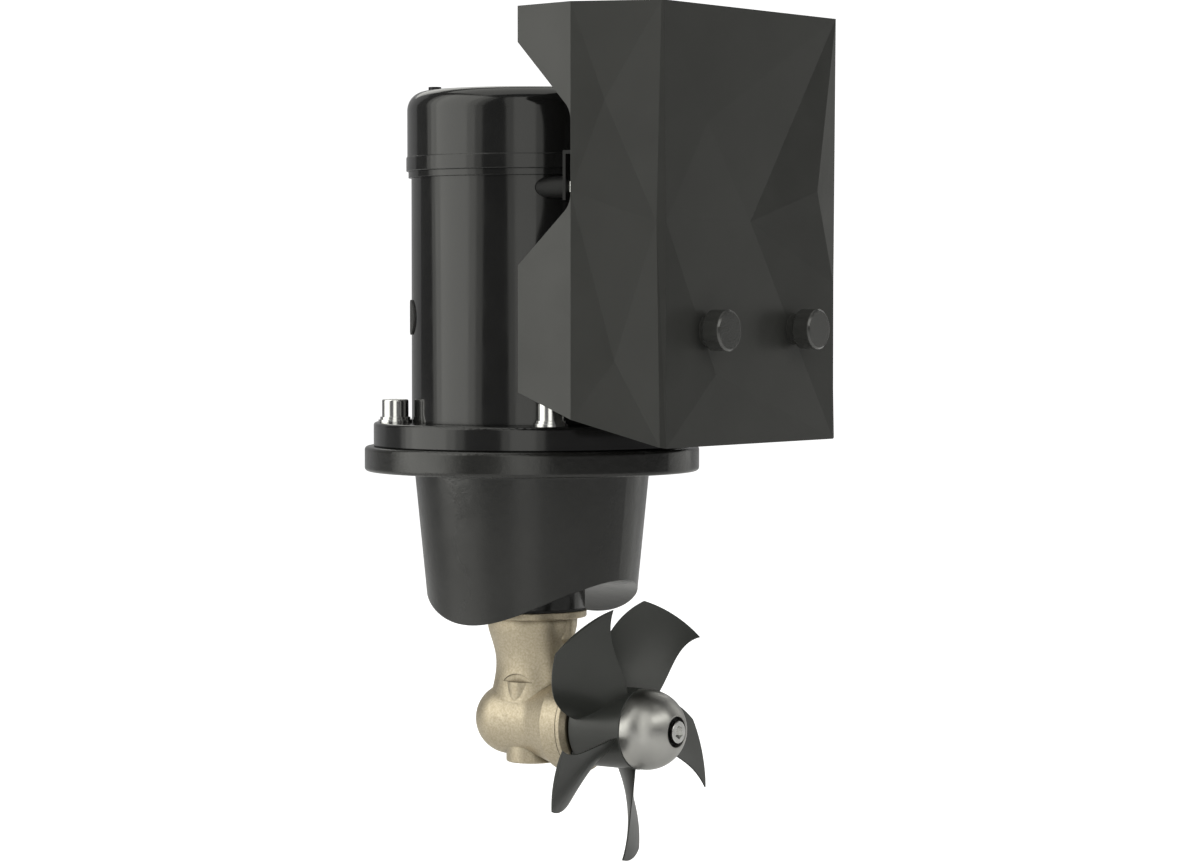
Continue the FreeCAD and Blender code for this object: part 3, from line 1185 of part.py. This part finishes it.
def control_cover():
    """Faceted shell, open behind and below, with a notch beside the motor on each side."""
    body = cover_solid(0.0, 0.0)
    seats = [cylinder(KNOB_SEAT_R, COVER_FRONT_X - SEAT_BOSS_L, KNOB_SEAT_X, X, Z * KNOB_Z + Y * p.y)
             for p in knob_points(0)]
    shell = body.cut(cover_solid(COVER_WALL, COVER_OPENING))
    shell = fused([shell] + seats)
    beyond = 12.0
    rise = (NOTCH_TOP_Z - NOTCH_DEEP_TOP_Z) / (NOTCH_DEEP_X - COVER_REAR_X)
    fall = (NOTCH_DEEP_BOTTOM_Z - NOTCH_BOTTOM_Z) / (NOTCH_DEEP_X - COVER_REAR_X)
    notch = Part.Face(corner_wire([
        (COVER_REAR_X - beyond, NOTCH_TOP_Z + beyond * rise), (NOTCH_DEEP_X, NOTCH_DEEP_TOP_Z, NOTCH_R),
        (NOTCH_DEEP_X, NOTCH_DEEP_BOTTOM_Z, NOTCH_R),
        (COVER_REAR_X - beyond, NOTCH_BOTTOM_Z - beyond * fall)]))
    notch.translate(Y * (-2 * COVER_WIDE_Y))
    cuts = [notch.extrude(Y * (4 * COVER_WIDE_Y))]
    for point in knob_points(0):
        cuts.append(cylinder(STUD_R + BOLT_PLAY, COVER_FRONT_X / 2, KNOB_SEAT_X + OVERCUT, X, point))
    return shell.cut(Part.makeCompound(cuts))


def knob(side):
    """Round nut with a chamfered rim that screws on a cover stud."""
    x0 = KNOB_SEAT_X + KNOB_GAP
    body = turned_x([(0, x0), (KNOB_R, x0, 0.6), (KNOB_R, x0 + KNOB_L - KNOB_CHAMFER),
                     (KNOB_R - KNOB_CHAMFER, x0 + KNOB_L), (0, x0 + KNOB_L)])
    body = body.cut(cylinder(STUD_R + RUNNING, x0 - OVERCUT, x0 + KNOB_THREAD_L, X))
    body.translate(Vec(0, side * KNOB_Y, KNOB_Z))
    return body


def knob_left():
    return knob(-1)


def knob_right():
    return knob(1)


def cover_studs():
    """Hexagonal standoffs on the bracket that end in studs for the knobs."""
    face = COVER_FRONT_X - SEAT_BOSS_L - LOOSE
    studs = []
    for point in knob_points(0):
        hexed = hexagon(STUD_HEX_FLATS, BRACKET_X + BRACKET_T, face, X, point)
        stud = cylinder(STUD_R, face, KNOB_SEAT_X + KNOB_GAP + KNOB_THREAD_L - END_GAP, X, point)
        tail = cylinder(STUD_R, BRACKET_X - 2.0, BRACKET_X + BRACKET_T, X, point)
        studs.append(fused([hexed, stud, tail]))
    return Part.makeCompound(studs)


# Control gear on its bracket

def foot_screw_points(z):
    return [Vec(FOOT_SCREW_X, side * FOOT_SCREW_Y, z) for side in (-1, 1)]


def control_bracket():
    """Bent steel plate that stands on the motor flange and carries the control gear."""
    foot_x = HOUSING_R + BRACKET_FOOT_GAP
    front = BRACKET_X + BRACKET_T
    profile = corner_wire([
        (foot_x, FLANGE_TOP_Z), (front, FLANGE_TOP_Z, BRACKET_T + 1), (front, BRACKET_TOP_Z),
        (BRACKET_X, BRACKET_TOP_Z), (BRACKET_X, FLANGE_TOP_Z + BRACKET_T, 1),
        (foot_x, FLANGE_TOP_Z + BRACKET_T)])
    sheet = Part.Face(profile)
    sheet.translate(Y * (-BRACKET_HALF_W))
    body = sheet.extrude(Y * (2 * BRACKET_HALF_W))
    low = FLANGE_TOP_Z + BRACKET_LIFT
    cuts = []
    for side in (-1, 1):
        y0, y1 = sorted((side * BRACKET_FOOT_HALF_W, side * (BRACKET_HALF_W + OVERCUT)))
        cuts.append(box(foot_x - OVERCUT, front + OVERCUT, y0, y1, FLANGE_TOP_Z - OVERCUT, low))
    for point in foot_screw_points(FLANGE_TOP_Z):
        cuts.append(cylinder(FOOT_SCREW_R + BOLT_PLAY, -OVERCUT, BRACKET_T + OVERCUT, Z, point))
    for point in knob_points(0):
        cuts.append(cylinder(STUD_R + RUNNING, BRACKET_X - OVERCUT, front + OVERCUT, X, point))
    return body.cut(Part.makeCompound(cuts))


def bracket_screws():
    screw = socket_screw(FOOT_SCREW_R, BRACKET_T + FOOT_SCREW_DEPTH - END_GAP,
                         FOOT_SCREW_HEAD_R, FOOT_SCREW_HEAD_H)
    return Part.makeCompound([placed(screw, p) for p in foot_screw_points(FLANGE_TOP_Z + BRACKET_T)])


def power_stud_points(z):
    """Rear pair to the motor, front pair to the battery."""
    points = []
    for x in (CONTACTOR_MID_X - POWER_STUD_STEP / 2, CONTACTOR_MID_X + POWER_STUD_STEP / 2):
        points += [Vec(x, side * PLUNGER_Y, z) for side in (-1, 1)]
    return points


def contactor_body():
    """Moulded block with a bore and a contact chamber over each plunger."""
    x0 = BRACKET_X + BRACKET_T
    top = CONTACTOR_Z + CONTACTOR_H
    body = box(x0, x0 + CONTACTOR_DEPTH, -CONTACTOR_W / 2, CONTACTOR_W / 2, CONTACTOR_Z, top)
    upright = [e for e in body.Edges if abs(e.tangentAt(e.FirstParameter).z) > 0.9 and e.CenterOfMass.x > x0 + 1]
    body = body.makeFillet(CONTACTOR_EDGE_R, upright)
    cuts = []
    for side in (-1, 1):
        at = Vec(CONTACTOR_MID_X, side * PLUNGER_Y, 0)
        cuts.append(cylinder(PLUNGER_R + RUNNING, PLUNGER_Z0 - RUNNING,
                             CHAMBER_Z0 + PLUNGER_TRAVEL + LOOSE, Z, at))
        cuts.append(cylinder(PLUNGER_R / 2, CONTACTOR_Z - OVERCUT, PLUNGER_Z0, Z, at))
        cuts.append(box(CONTACTOR_MID_X - BRIDGE_L / 2 - 1, CONTACTOR_MID_X + BRIDGE_L / 2 + 1,
                        side * PLUNGER_Y - BRIDGE_W / 2 - 1, side * PLUNGER_Y + BRIDGE_W / 2 + 1,
                        CHAMBER_Z0 - 0.5, CHAMBER_Z1))
    cuts += [cylinder(POWER_STUD_ROOT_R, CHAMBER_Z0, top + OVERCUT, Z, p) for p in power_stud_points(0)]
    return body.cut(Part.makeCompound(cuts))


def plunger(side):
    """Iron plunger with the copper bridge that closes the contacts."""
    at = Vec(CONTACTOR_MID_X, side * PLUNGER_Y, 0)
    rod = cylinder(PLUNGER_R, PLUNGER_Z0, CHAMBER_Z0, Z, at)
    bridge = box(CONTACTOR_MID_X - BRIDGE_L / 2, CONTACTOR_MID_X + BRIDGE_L / 2,
                 at.y - BRIDGE_W / 2, at.y + BRIDGE_W / 2, CHAMBER_Z0, CHAMBER_Z0 + BRIDGE_T)
    return rod.fuse(bridge).removeSplitter()


def plunger_left():
    return plunger(-1)


def plunger_right():
    return plunger(1)


def power_studs():
    face = CONTACTOR_Z + CONTACTOR_H
    low = CHAMBER_Z0 + BRIDGE_T + PLUNGER_TRAVEL + LOOSE
    stud = turned([(0, low), (POWER_STUD_ROOT_R, low), (POWER_STUD_ROOT_R, face), (POWER_STUD_R, face),
                   (POWER_STUD_R, face + POWER_STUD_L), (0, face + POWER_STUD_L)])
    return Part.makeCompound([placed(stud, p) for p in power_stud_points(0)])


def stud_nuts():
    """Nuts that hold the copper bars; the battery studs are left free for their cables."""
    nut = hex_nut(POWER_STUD_R, NUT_FLATS, NUT_T)
    rear = power_stud_points(CONTACTOR_Z + CONTACTOR_H + BAR_T)[:2]
    outer = terminal_points(TERMINAL_NUT_X)
    return Part.makeCompound([placed(nut, p) for p in rear] + [placed(nut, p, X) for p in outer])


def motor_terminals():
    """Studs through the housing's wall, each in a round collar that carries its copper bar."""
    wall_x = sqrt((HOUSING_R - HOUSING_WALL) ** 2 - TERMINAL_Y ** 2)
    studs = []
    for at in terminal_points(0):
        stud = cylinder(POWER_STUD_R, wall_x - TERMINAL_TAIL_L, TERMINAL_NUT_X + NUT_T + END_GAP, X, at)
        collar = cylinder(TERMINAL_COLLAR_R, wall_x, TERMINAL_FACE_X, X, at)
        studs.append(fused([stud, collar]))
    return Part.makeCompound(studs)


def motor_bars():
    """Copper bars from the motor terminals over the bracket and down to the rear contactor studs."""
    top = CONTACTOR_Z + CONTACTOR_H
    high = top + BAR_RISE + BAR_T
    rear_x = power_stud_points(0)[0].x
    down_x = BRACKET_X + BRACKET_T + BAR_T
    cross_x = down_x + BAR_T - BAR_W
    bars = []
    for side in (-1, 1):
        stud_y, end_y = side * PLUNGER_Y, side * TERMINAL_Y
        near, far = stud_y - side * BAR_W / 2, end_y + side * BAR_W / 2
        across = sorted((near, far))
        sheets = [
            box(TERMINAL_FACE_X, TERMINAL_NUT_X, end_y - BAR_W / 2, end_y + BAR_W / 2,
                TERMINAL_Z - BAR_W / 2, high),
            box(TERMINAL_FACE_X, down_x + BAR_T, end_y - BAR_W / 2, end_y + BAR_W / 2, high - BAR_T, high),
            box(cross_x, down_x + BAR_T, across[0], across[1], high - BAR_T, high),
            box(down_x, down_x + BAR_T, stud_y - BAR_W / 2, stud_y + BAR_W / 2, top, high),
            box(down_x, rear_x + BAR_W / 2, stud_y - BAR_W / 2, stud_y + BAR_W / 2, top, top + BAR_T)]
        holes = [cylinder(POWER_STUD_R + WASHER_PLAY, top - OVERCUT, top + BAR_T + OVERCUT, Z,
                          Vec(rear_x, stud_y, 0)),
                 cylinder(POWER_STUD_R + WASHER_PLAY, TERMINAL_FACE_X - OVERCUT, TERMINAL_NUT_X + OVERCUT, X,
                          Vec(0, end_y, TERMINAL_Z))]
        bars.append(fused(sheets).cut(Part.makeCompound(holes)))
    return Part.makeCompound(bars)


def control_connector():
    """Multi-way socket for the control cable, mouth down, with its pins."""
    x0 = BRACKET_X + BRACKET_T
    x1 = x0 + CONNECTOR_D
    y0, y1 = -CONNECTOR_W / 2, CONNECTOR_W / 2
    z0, z1 = CONNECTOR_Z, CONNECTOR_Z + CONNECTOR_H
    body = box(x0, x1, y0, y1, z0, z1)
    wall = CONNECTOR_WALL
    floor = z0 + CONNECTOR_DEPTH
    mouth = box(x0 + wall, x1 - wall, y0 + wall, y1 - wall, z0 - OVERCUT, floor)
    pins = [cylinder(PIN_R, floor - PIN_L, floor + OVERCUT / 2, Z,
                     Vec((x0 + x1) / 2, y0 + CONNECTOR_W * (i + 1) / (PIN_COUNT + 1), 0))
            for i in range(PIN_COUNT)]
    return fused([body.cut(mouth)] + pins)


PIECES = (
    saddle_flange, motor_flange, flange_screws, flange_washers, motor_housing, port_plug, field_magnets,
    brush_ring, brush_holders, brushes, brush_springs, motor_end_cap, through_bolts,
    motor_bearing_lower, motor_bearing_upper, motor_shaft, armature_core, armature_windings, commutator,
    coupling_upper, coupling_spider, coupling_lower, drive_shaft, pinion_gear, leg_gasket, gear_leg,
    leg_bolts, drain_plug, drive_bearings, bearing_spacer, drive_shaft_seal, bearing_cap, cap_screws,
    cap_o_ring, prop_bearing_head, prop_bearing_tail, prop_shaft_seals, crown_gear, propeller_shaft,
    propeller, drive_pin, propeller_washer, propeller_nut, nose_anode, anode_washer, anode_screw,
    control_bracket, bracket_screws, cover_studs, contactor_body, power_studs, stud_nuts,
    motor_terminals, motor_bars, control_connector, plunger_left, plunger_right, control_cover,
    knob_left, knob_right,
)

os.makedirs("parts", exist_ok=True)
for make in PIECES:
    shape = make()
    if not shape.isValid() or not shape.Solids:
        raise ValueError("the shape of " + make.__name__ + " is not valid")
    shape.exportStep("parts/" + make.__name__ + ".step")
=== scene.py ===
"""Looks of an electric bow thruster: finishes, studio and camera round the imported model."""

import json
import math

import bpy
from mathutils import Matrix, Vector


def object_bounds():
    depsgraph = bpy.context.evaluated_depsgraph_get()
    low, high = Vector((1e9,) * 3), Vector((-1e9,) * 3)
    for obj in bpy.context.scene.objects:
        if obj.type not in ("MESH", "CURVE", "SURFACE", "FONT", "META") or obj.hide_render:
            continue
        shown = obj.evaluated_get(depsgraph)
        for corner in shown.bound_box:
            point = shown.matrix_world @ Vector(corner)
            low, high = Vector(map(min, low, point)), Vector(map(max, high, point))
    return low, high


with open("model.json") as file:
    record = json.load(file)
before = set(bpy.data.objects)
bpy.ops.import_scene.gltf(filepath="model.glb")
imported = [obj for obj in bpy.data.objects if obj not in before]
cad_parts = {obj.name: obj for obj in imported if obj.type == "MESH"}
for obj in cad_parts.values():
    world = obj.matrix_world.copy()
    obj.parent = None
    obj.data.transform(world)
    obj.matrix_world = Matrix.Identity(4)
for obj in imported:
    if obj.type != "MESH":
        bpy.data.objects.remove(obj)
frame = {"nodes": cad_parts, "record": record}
cad_low, cad_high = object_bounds()

MM = 0.001

# Level directions as the camera sees them
AHEAD = Vector((-0.592, 0.806, 0)).normalized()
RIGHT = Vector((0.806, 0.592, 0)).normalized()


def linear(red, green, blue):
    """A colour given as 0 to 255 on a screen, as the renderer's linear values."""
    return tuple(((c / 255 + 0.055) / 1.055) ** 2.4 if c > 10 else c / 255 / 12.92
                 for c in (red, green, blue))


def grey(level):
    """An even grey of a linear level."""
    return level, level, level


def shades(colour, spread):
    """A darker and a lighter shade of a colour."""
    return tuple(c * (1 - spread) for c in colour), tuple(min(1.0, c * (1 + spread)) for c in colour)


def add_node(tree, kind, inputs, **settings):
    """A new node, with each input set to a value or joined to a socket."""
    node = tree.nodes.new(kind)
    for name, value in settings.items():
        setattr(node, name, value)
    for name, value in inputs.items():
        if isinstance(value, bpy.types.NodeSocket):
            tree.links.new(value, node.inputs[name])
        else:
            node.inputs[name].default_value = value
    return node


# Camera

SENSOR_WIDTH = 36.0
FRAME_WIDTH, FOCAL_LENGTH = 1200, 3600.0    # pixels
HORIZON_ROW, CENTRE_ROW = 294.5, 432.0      # pixels from the top of the frame
FARTHEST_SEEN = 60.0

camera_data = bpy.data.cameras.new("camera")
camera_data.sensor_width = SENSOR_WIDTH
camera_data.lens = SENSOR_WIDTH * FOCAL_LENGTH / FRAME_WIDTH
camera_data.clip_end = FARTHEST_SEEN
camera = bpy.data.objects.new("camera", camera_data)
bpy.context.scene.collection.objects.link(camera)
camera.location = (1.5083, -1.9743, 0.2941)
pitch = math.atan((CENTRE_ROW - HORIZON_ROW) / FOCAL_LENGTH)
heading = AHEAD * math.cos(pitch) - Vector((0, 0, math.sin(pitch)))
camera.rotation_euler = heading.to_track_quat("-Z", "Y").to_euler()
bpy.context.scene.camera = camera


# Finishes

class Finish:
    """A material whose detail is built up from a few kinds of node, in the object's own metres."""

    def __init__(self, name, colour, roughness, metallic=0.0, round_edges=0.4 * MM):
        self.material = bpy.data.materials.new(name)
        self.material.use_nodes = True
        self.tree = self.material.node_tree
        self.shader = self.tree.nodes["Principled BSDF"]
        self.shader.inputs["Base Color"].default_value = (*colour, 1)
        self.shader.inputs["Roughness"].default_value = roughness
        self.shader.inputs["Metallic"].default_value = metallic
        self.place = self.tree.nodes.new("ShaderNodeTexCoord").outputs["Object"]
        bevel = self.add("ShaderNodeBevel", {"Radius": round_edges}, samples=4)
        self.normal = self.rounded = bevel.outputs["Normal"]
        self.drive("Normal", self.normal)

    def add(self, kind, inputs, **settings):
        return add_node(self.tree, kind, inputs, **settings)

    def drive(self, name, value):
        """Lets a value that varies over the surface decide one of the shader's inputs."""
        self.tree.links.new(value, self.shader.inputs[name])
        return self

    def shine(self, specular, coat=0.0, coat_roughness=0.04):
        """How strongly a plastic mirrors, and the weight and roughness of a clear coat on it."""
        self.shader.inputs["Specular IOR Level"].default_value = specular
        self.shader.inputs["Coat Weight"].default_value = coat
        self.shader.inputs["Coat Roughness"].default_value = coat_roughness
        return self

    def stretched(self, x, y, z):
        """The place with each axis scaled, for grain that runs one way."""
        return self.add("ShaderNodeMapping", {"Scale": (x, y, z), "Vector": self.place}).outputs["Vector"]

    def noise(self, size, detail=3.0, place=None):
        """Cloudy noise from 0 to 1, with blotches of about the given size."""
        inputs = {"Scale": 1.0 / size, "Detail": detail, "Vector": place or self.place}
        return self.add("ShaderNodeTexNoise", inputs).outputs["Fac"]

    def spread(self, value, low, high, start=0.3, stop=0.7):
        """A value brought from one range to another."""
        inputs = {"From Min": start, "From Max": stop, "To Min": low, "To Max": high, "Value": value}
        return self.add("ShaderNodeMapRange", inputs).outputs["Result"]

    def rough(self, value, low, high):
        """Roughness that varies between two levels."""
        return self.drive("Roughness", self.spread(value, low, high))

    def blend(self, below, above, share):
        """Colour that goes from one to another with a share from 0 to 1."""
        inputs = {"A": below, "B": above, "Factor": share}
        node = self.add("ShaderNodeMix", inputs, data_type="RGBA")
        return self.drive("Base Color", node.outputs["Result"])

    def tint(self, value, dark, light):
        """Colour that varies between two shades."""
        return self.blend((*dark, 1), (*light, 1), self.spread(value, 0, 1))

    def colour_so_far(self):
        return self.shader.inputs["Base Color"].links[0].from_socket

    def edges(self):
        """0 on flat ground and up to 1 on a rounded edge or in a corner."""
        true_normal = self.add("ShaderNodeNewGeometry", {}).outputs["Normal"]
        node = self.add("ShaderNodeVectorMath", {0: self.rounded, 1: true_normal}, operation="DOT_PRODUCT")
        return self.spread(node.outputs["Value"], 1, 0, 0.80, 0.99)

    def worn(self, colour, share):
        """A lighter colour rubbed through along the edges, in broken patches."""
        rubbed = self.spread(self.noise(5 * MM, 4), 0, share)
        patches = self.add("ShaderNodeMath", {0: self.edges(), 1: rubbed}, operation="MULTIPLY")
        return self.blend(self.colour_so_far(), (*colour, 1), patches.outputs["Value"])

    def painted_corner_shade(self, colour, reach):
        """Painted shade: a darker colour laid into corners and creases, out to the given reach, where
        shade falls.
        """
        # Painted shade: ambient occlusion pulls the colour towards the given dark colour in corners.
        node = self.add("ShaderNodeAmbientOcclusion", {"Distance": reach}, samples=8)
        unshaded_share = self.spread(node.outputs["AO"], 0, 1, 0.35, 0.9)
        return self.blend((*colour, 1), self.colour_so_far(), unshaded_share)

    def relief(self, size, detail, height, strength, place=None):
        """Cloudy bumps of the given size and height, laid over those already there."""
        inputs = {"Distance": height, "Strength": strength,
                  "Height": self.noise(size, detail, place), "Normal": self.normal}
        self.normal = self.add("ShaderNodeBump", inputs).outputs["Normal"]
        return self.drive("Normal", self.normal)


def textured_paint():
    """Black paint over a sand casting: a fine orange-peel skin over a wavy surface."""
    finish = Finish("textured_paint", (0.018, 0.018, 0.017), 0.19, round_edges=1.2 * MM)
    finish.relief(26 * MM, 2, 0.4 * MM, 0.4)
    finish.relief(4.5 * MM, 2, 0.12 * MM, 0.8)
    finish.relief(1.4 * MM, 3, 0.07 * MM, 0.8)
    finish.rough(finish.noise(14 * MM), 0.15, 0.25)
    finish.tint(finish.noise(40 * MM), (0.015, 0.015, 0.014), (0.021, 0.021, 0.020))
    return finish.worn((0.075, 0.077, 0.075), 0.5)


def enamel(name, roughness):
    """Gloss black enamel on smooth steel."""
    finish = Finish(name, grey(0.011), roughness, round_edges=0.7 * MM)
    finish.relief(9 * MM, 1, 0.02 * MM, 0.25)
    finish.relief(0.9 * MM, 2, 0.004 * MM, 0.3)
    finish.rough(finish.noise(25 * MM), roughness - 0.02, roughness + 0.05)
    finish.tint(finish.noise(60 * MM), grey(0.009), grey(0.013))
    return finish.worn(grey(0.05), 0.4)


def sand_bronze():
    """Bare bronze as it leaves the sand, brighter where it was fettled, with painted shade darkening its
    corners.
    """
    finish = Finish("sand_bronze", linear(188, 176, 154), 0.42, metallic=0.8, round_edges=0.8 * MM)
    finish.relief(14 * MM, 2, 0.30 * MM, 0.4)
    finish.relief(0.9 * MM, 4, 0.13 * MM, 0.9)
    finish.rough(finish.noise(3 * MM, 4), 0.36, 0.50)
    finish.tint(finish.noise(1.4 * MM, 5), linear(178, 165, 141), linear(202, 191, 169))
    finish.worn(linear(222, 212, 192), 0.5)
    # Painted shade darkens the bronze in its corners and creases.
    return finish.painted_corner_shade(linear(96, 86, 70), 6 * MM)


def moulded(name, colour, roughness, grain=0.7 * MM, depth=0.03 * MM, round_edges=0.4 * MM):
    """Moulded plastic with a fine eroded grain."""
    finish = Finish(name, colour, roughness, round_edges=round_edges)
    finish.relief(grain, 3, depth, 0.7)
    finish.rough(finish.noise(30 * MM), roughness - 0.04, roughness + 0.05)
    finish.tint(finish.noise(70 * MM), *shades(colour, 0.08))
    return finish.worn(tuple(c * 1.9 for c in colour), 0.5)


def ribbed(name, colour, roughness):
    """Moulded plastic with fine ribs that run along the propeller axis."""
    finish = moulded(name, colour, roughness, round_edges=1.1 * MM)
    return finish.relief(1.2 * MM, 0, 0.10 * MM, 0.6, finish.stretched(0.02, 1, 1))


def turned_metal(name, colour, roughness):
    """Metal turned about the propeller axis, with fine rings left by the tool."""
    finish = Finish(name, colour, roughness, metallic=1.0)
    finish.relief(0.5 * MM, 2, 0.01 * MM, 0.4, finish.stretched(1, 0.02, 0.02))
    finish.rough(finish.noise(8 * MM), roughness - 0.05, roughness + 0.07)
    return finish.tint(finish.noise(20 * MM), *shades(colour, 0.06))


def plated(name, colour, roughness=0.22, scuffs=0.08):
    """Plated or ground steel with faint scratches that run up and down."""
    finish = Finish(name, colour, roughness, metallic=1.0, round_edges=0.3 * MM)
    finish.relief(0.6 * MM, 2, 0.01 * MM, 3 * scuffs, finish.stretched(1, 1, 0.1))
    finish.rough(finish.noise(3 * MM), roughness - scuffs / 2, roughness + scuffs)
    return finish.tint(finish.noise(5 * MM), *shades(colour, scuffs))


def rubber():
    """Matt black rubber."""
    finish = Finish("rubber", grey(0.020), 0.6)
    finish.relief(0.9 * MM, 2, 0.02 * MM, 0.6)
    finish.tint(finish.noise(12 * MM), grey(0.016), grey(0.026))
    return finish.rough(finish.noise(8 * MM), 0.52, 0.70)


FINISHES = {
    "cast_black": textured_paint(),
    "motor_black": enamel("enamel", 0.10),
    "bronze": sand_bronze(),
    "plastic_black": moulded("propeller_plastic", (0.034, 0.036, 0.033), 0.34, 1.0 * MM, 0.02 * MM),
    "anode_silver": turned_metal("anode_metal", linear(180, 179, 176), 0.36),
    "zinc_steel": plated("zinc_plate", linear(205, 205, 203)),
    "dark_steel": plated("black_oxide", (0.030, 0.030, 0.032), 0.35),
    "shaft_steel": plated("ground_steel", linear(190, 191, 193), 0.26),
    "bearing_steel": plated("bearing_metal", linear(198, 199, 200), 0.20),
    "gear_steel": plated("gear_metal", linear(150, 150, 152), 0.30),
    "lamination": plated("soft_iron", linear(140, 140, 142), 0.42),
    "copper": plated("copper_bar", linear(200, 128, 98), 0.30),
    "brass": plated("brass_stud", linear(196, 166, 96), 0.28),
    "spring_steel": plated("spring_strip", linear(160, 160, 164), 0.30),
    "carbon": moulded("brush_carbon", grey(0.030), 0.55),
    "ferrite": moulded("magnet_ferrite", (0.050, 0.050, 0.054), 0.50),
    "rubber": rubber(),
    "contactor_plastic": moulded("contactor_moulding", (0.016, 0.016, 0.017), 0.30),
    "cover_grey": moulded("cover_moulding", (0.037, 0.0375, 0.0355), 0.34,
                          0.8 * MM, 0.02 * MM).shine(0.3),
    "knob_black": ribbed("knob_moulding", (0.038, 0.0385, 0.0365), 0.22).shine(0.8, coat=0.6),
}
SLEEVE = moulded("shrink_sleeve", grey(0.012), 0.40, 2.0 * MM, 0.08 * MM).shine(0.15)
BRIGHT = plated("bright_zinc", linear(222, 222, 220), 0.10, 0.02)

# Pieces that differ from the rest of their material
OWN_FINISHES = {
    "motor_flange": enamel("flange_enamel", 0.11),
    "motor_bars": SLEEVE,
    "motor_terminals": SLEEVE,
    # Black oxide washer, whose dark colour is also painted shade inside the anode's recess.
    "anode_washer": plated("washer_oxide_and_recess_shade", (0.020, 0.020, 0.021), 0.40),
    "control_bracket": enamel("bracket_paint", 0.36),
    "flange_screws": BRIGHT,
    "flange_washers": BRIGHT,
    "anode_screw": plated("polished_screw", linear(214, 214, 212), 0.12),
}
for part in frame["record"]["subparts"]:
    mesh = frame["nodes"][part["node"]].data
    mesh.materials.clear()
    mesh.materials.append(OWN_FINISHES.get(part["node"], FINISHES[part["material_slot"]]).material)


# Studio

FLOOR_Z = cad_low.z - 0.002
SHEET_REACH, SHEET_HALF_WIDTH, SHEET_TOP = 7, 8, 6
SHEET_GREY, SHEET_ROUGHNESS = 0.75, 0.25
LAMP_COLOUR = (1.0, 1.0, 0.94)
LAMP_AIM = Vector((0, 0, 0.20))


def spot(along, aside, height):
    """A place in metres beyond the object, to its right and above its origin, as the camera sees it."""
    return AHEAD * along + RIGHT * aside + Vector((0, 0, height))


def by_ray(tree, camera_level, mirror_level, other_level):
    """A strength for light that depends on what kind of ray meets it."""
    path = tree.nodes.new("ShaderNodeLightPath")
    level = other_level
    for kind, own_level in (("Is Camera Ray", camera_level), ("Is Glossy Ray", mirror_level),
                            ("Is Transmission Ray", mirror_level)):
        inputs = {0: path.outputs[kind], 1: own_level - other_level, 2: level}
        level = add_node(tree, "ShaderNodeMath", inputs, operation="MULTIPLY_ADD").outputs[0]
    return level


def plain_sheet(name, corners, gloss, camera_level, mirror_level):
    """A pale sheet that looks white to the camera, shows in reflections and still takes shadow."""
    mesh = bpy.data.meshes.new(name)
    mesh.from_pydata(corners, [], [(0, 1, 2, 3)])
    sheet = bpy.data.objects.new(name, mesh)
    bpy.context.scene.collection.objects.link(sheet)
    material = bpy.data.materials.new(name)
    material.use_nodes = True
    tree = material.node_tree
    shader = tree.nodes["Principled BSDF"]
    shader.inputs["Base Color"].default_value = (*grey(SHEET_GREY), 1)
    shader.inputs["Roughness"].default_value = SHEET_ROUGHNESS
    shader.inputs["Specular IOR Level"].default_value = gloss
    shader.inputs["Emission Color"].default_value = (1, 1, 1, 1)
    tree.links.new(by_ray(tree, camera_level, mirror_level, 0.0), shader.inputs["Emission Strength"])
    mesh.materials.append(material)


def edge(along, height):
    """Left and right end of a line across the studio."""
    return [spot(along, -SHEET_HALF_WIDTH, height), spot(along, SHEET_HALF_WIDTH, height)]


plain_sheet("floor", edge(-SHEET_REACH, FLOOR_Z) + edge(SHEET_REACH, FLOOR_Z)[::-1],
            gloss=0.5, camera_level=0.90, mirror_level=0.15)
plain_sheet("backdrop", edge(SHEET_REACH, FLOOR_Z) + edge(SHEET_REACH, SHEET_TOP)[::-1],
            gloss=0.0, camera_level=1.0, mirror_level=0.22)


def softbox(name, angle, distance, height, width, tall, brightness):
    """A flat lamp that faces the object from an angle round it, where 0 is the camera's side and
    positive angles are to its right. Brightness is how bright its face looks, where 1 is white."""
    data = bpy.data.lights.new(name, "AREA")
    data.shape = "RECTANGLE"
    data.size, data.size_y = width, tall
    data.energy = brightness * math.pi * width * tall
    data.color = LAMP_COLOUR
    lamp = bpy.data.objects.new(name, data)
    bpy.context.scene.collection.objects.link(lamp)
    turn = math.radians(angle)
    lamp.location = spot(-distance * math.cos(turn), distance * math.sin(turn), height)
    lamp.rotation_euler = (LAMP_AIM - lamp.location).to_track_quat("-Z", "Y").to_euler()
    lamp.visible_camera = False


def wide(first, last, distance):
    """The width of a lamp that reaches from one angle to another at its distance."""
    return 2 * distance * math.tan(math.radians(last - first) / 2)


# Name, first and last angle, distance, height, how tall, brightness
LAMPS = (
    ("left_outer", -108, -42, 0.84, 0.54, 1.25, 0.70),
    ("left_middle", -102, -49, 0.82, 0.54, 1.25, 0.75),
    ("left_inner", -94, -57, 0.80, 0.54, 1.25, 0.65),
    ("front_wide", -22, 12, 0.92, 0.54, 1.25, 0.75),
    ("front_inner", -15, 5, 0.90, 0.54, 1.25, 0.55),
    ("right_back", 108, 138, 2.2, 0.60, 2.2, 0.60),
    ("right_high", 14, 78, 2.1, 1.40, 1.1, 1.70),
    ("back_high", 150, 210, 2.0, 1.60, 1.0, 1.20),
)
for name, first, last, distance, height, tall, brightness in LAMPS:
    softbox(name, (first + last) / 2, distance, height, wide(first, last, distance), tall, brightness)
softbox("top", angle=180, distance=0.2, height=2.2, width=2.4, tall=2.0, brightness=1.1)

world = bpy.data.worlds.new("world")
bpy.context.scene.world = world
world.use_nodes = True
background = world.node_tree.nodes["Background"]
background.inputs["Color"].default_value = (1, 1, 1, 1)
world_level = by_ray(world.node_tree, camera_level=1.0, mirror_level=0.10, other_level=0.16)
world.node_tree.links.new(world_level, background.inputs["Strength"])

bpy.context.scene.view_settings.view_transform = "Standard"
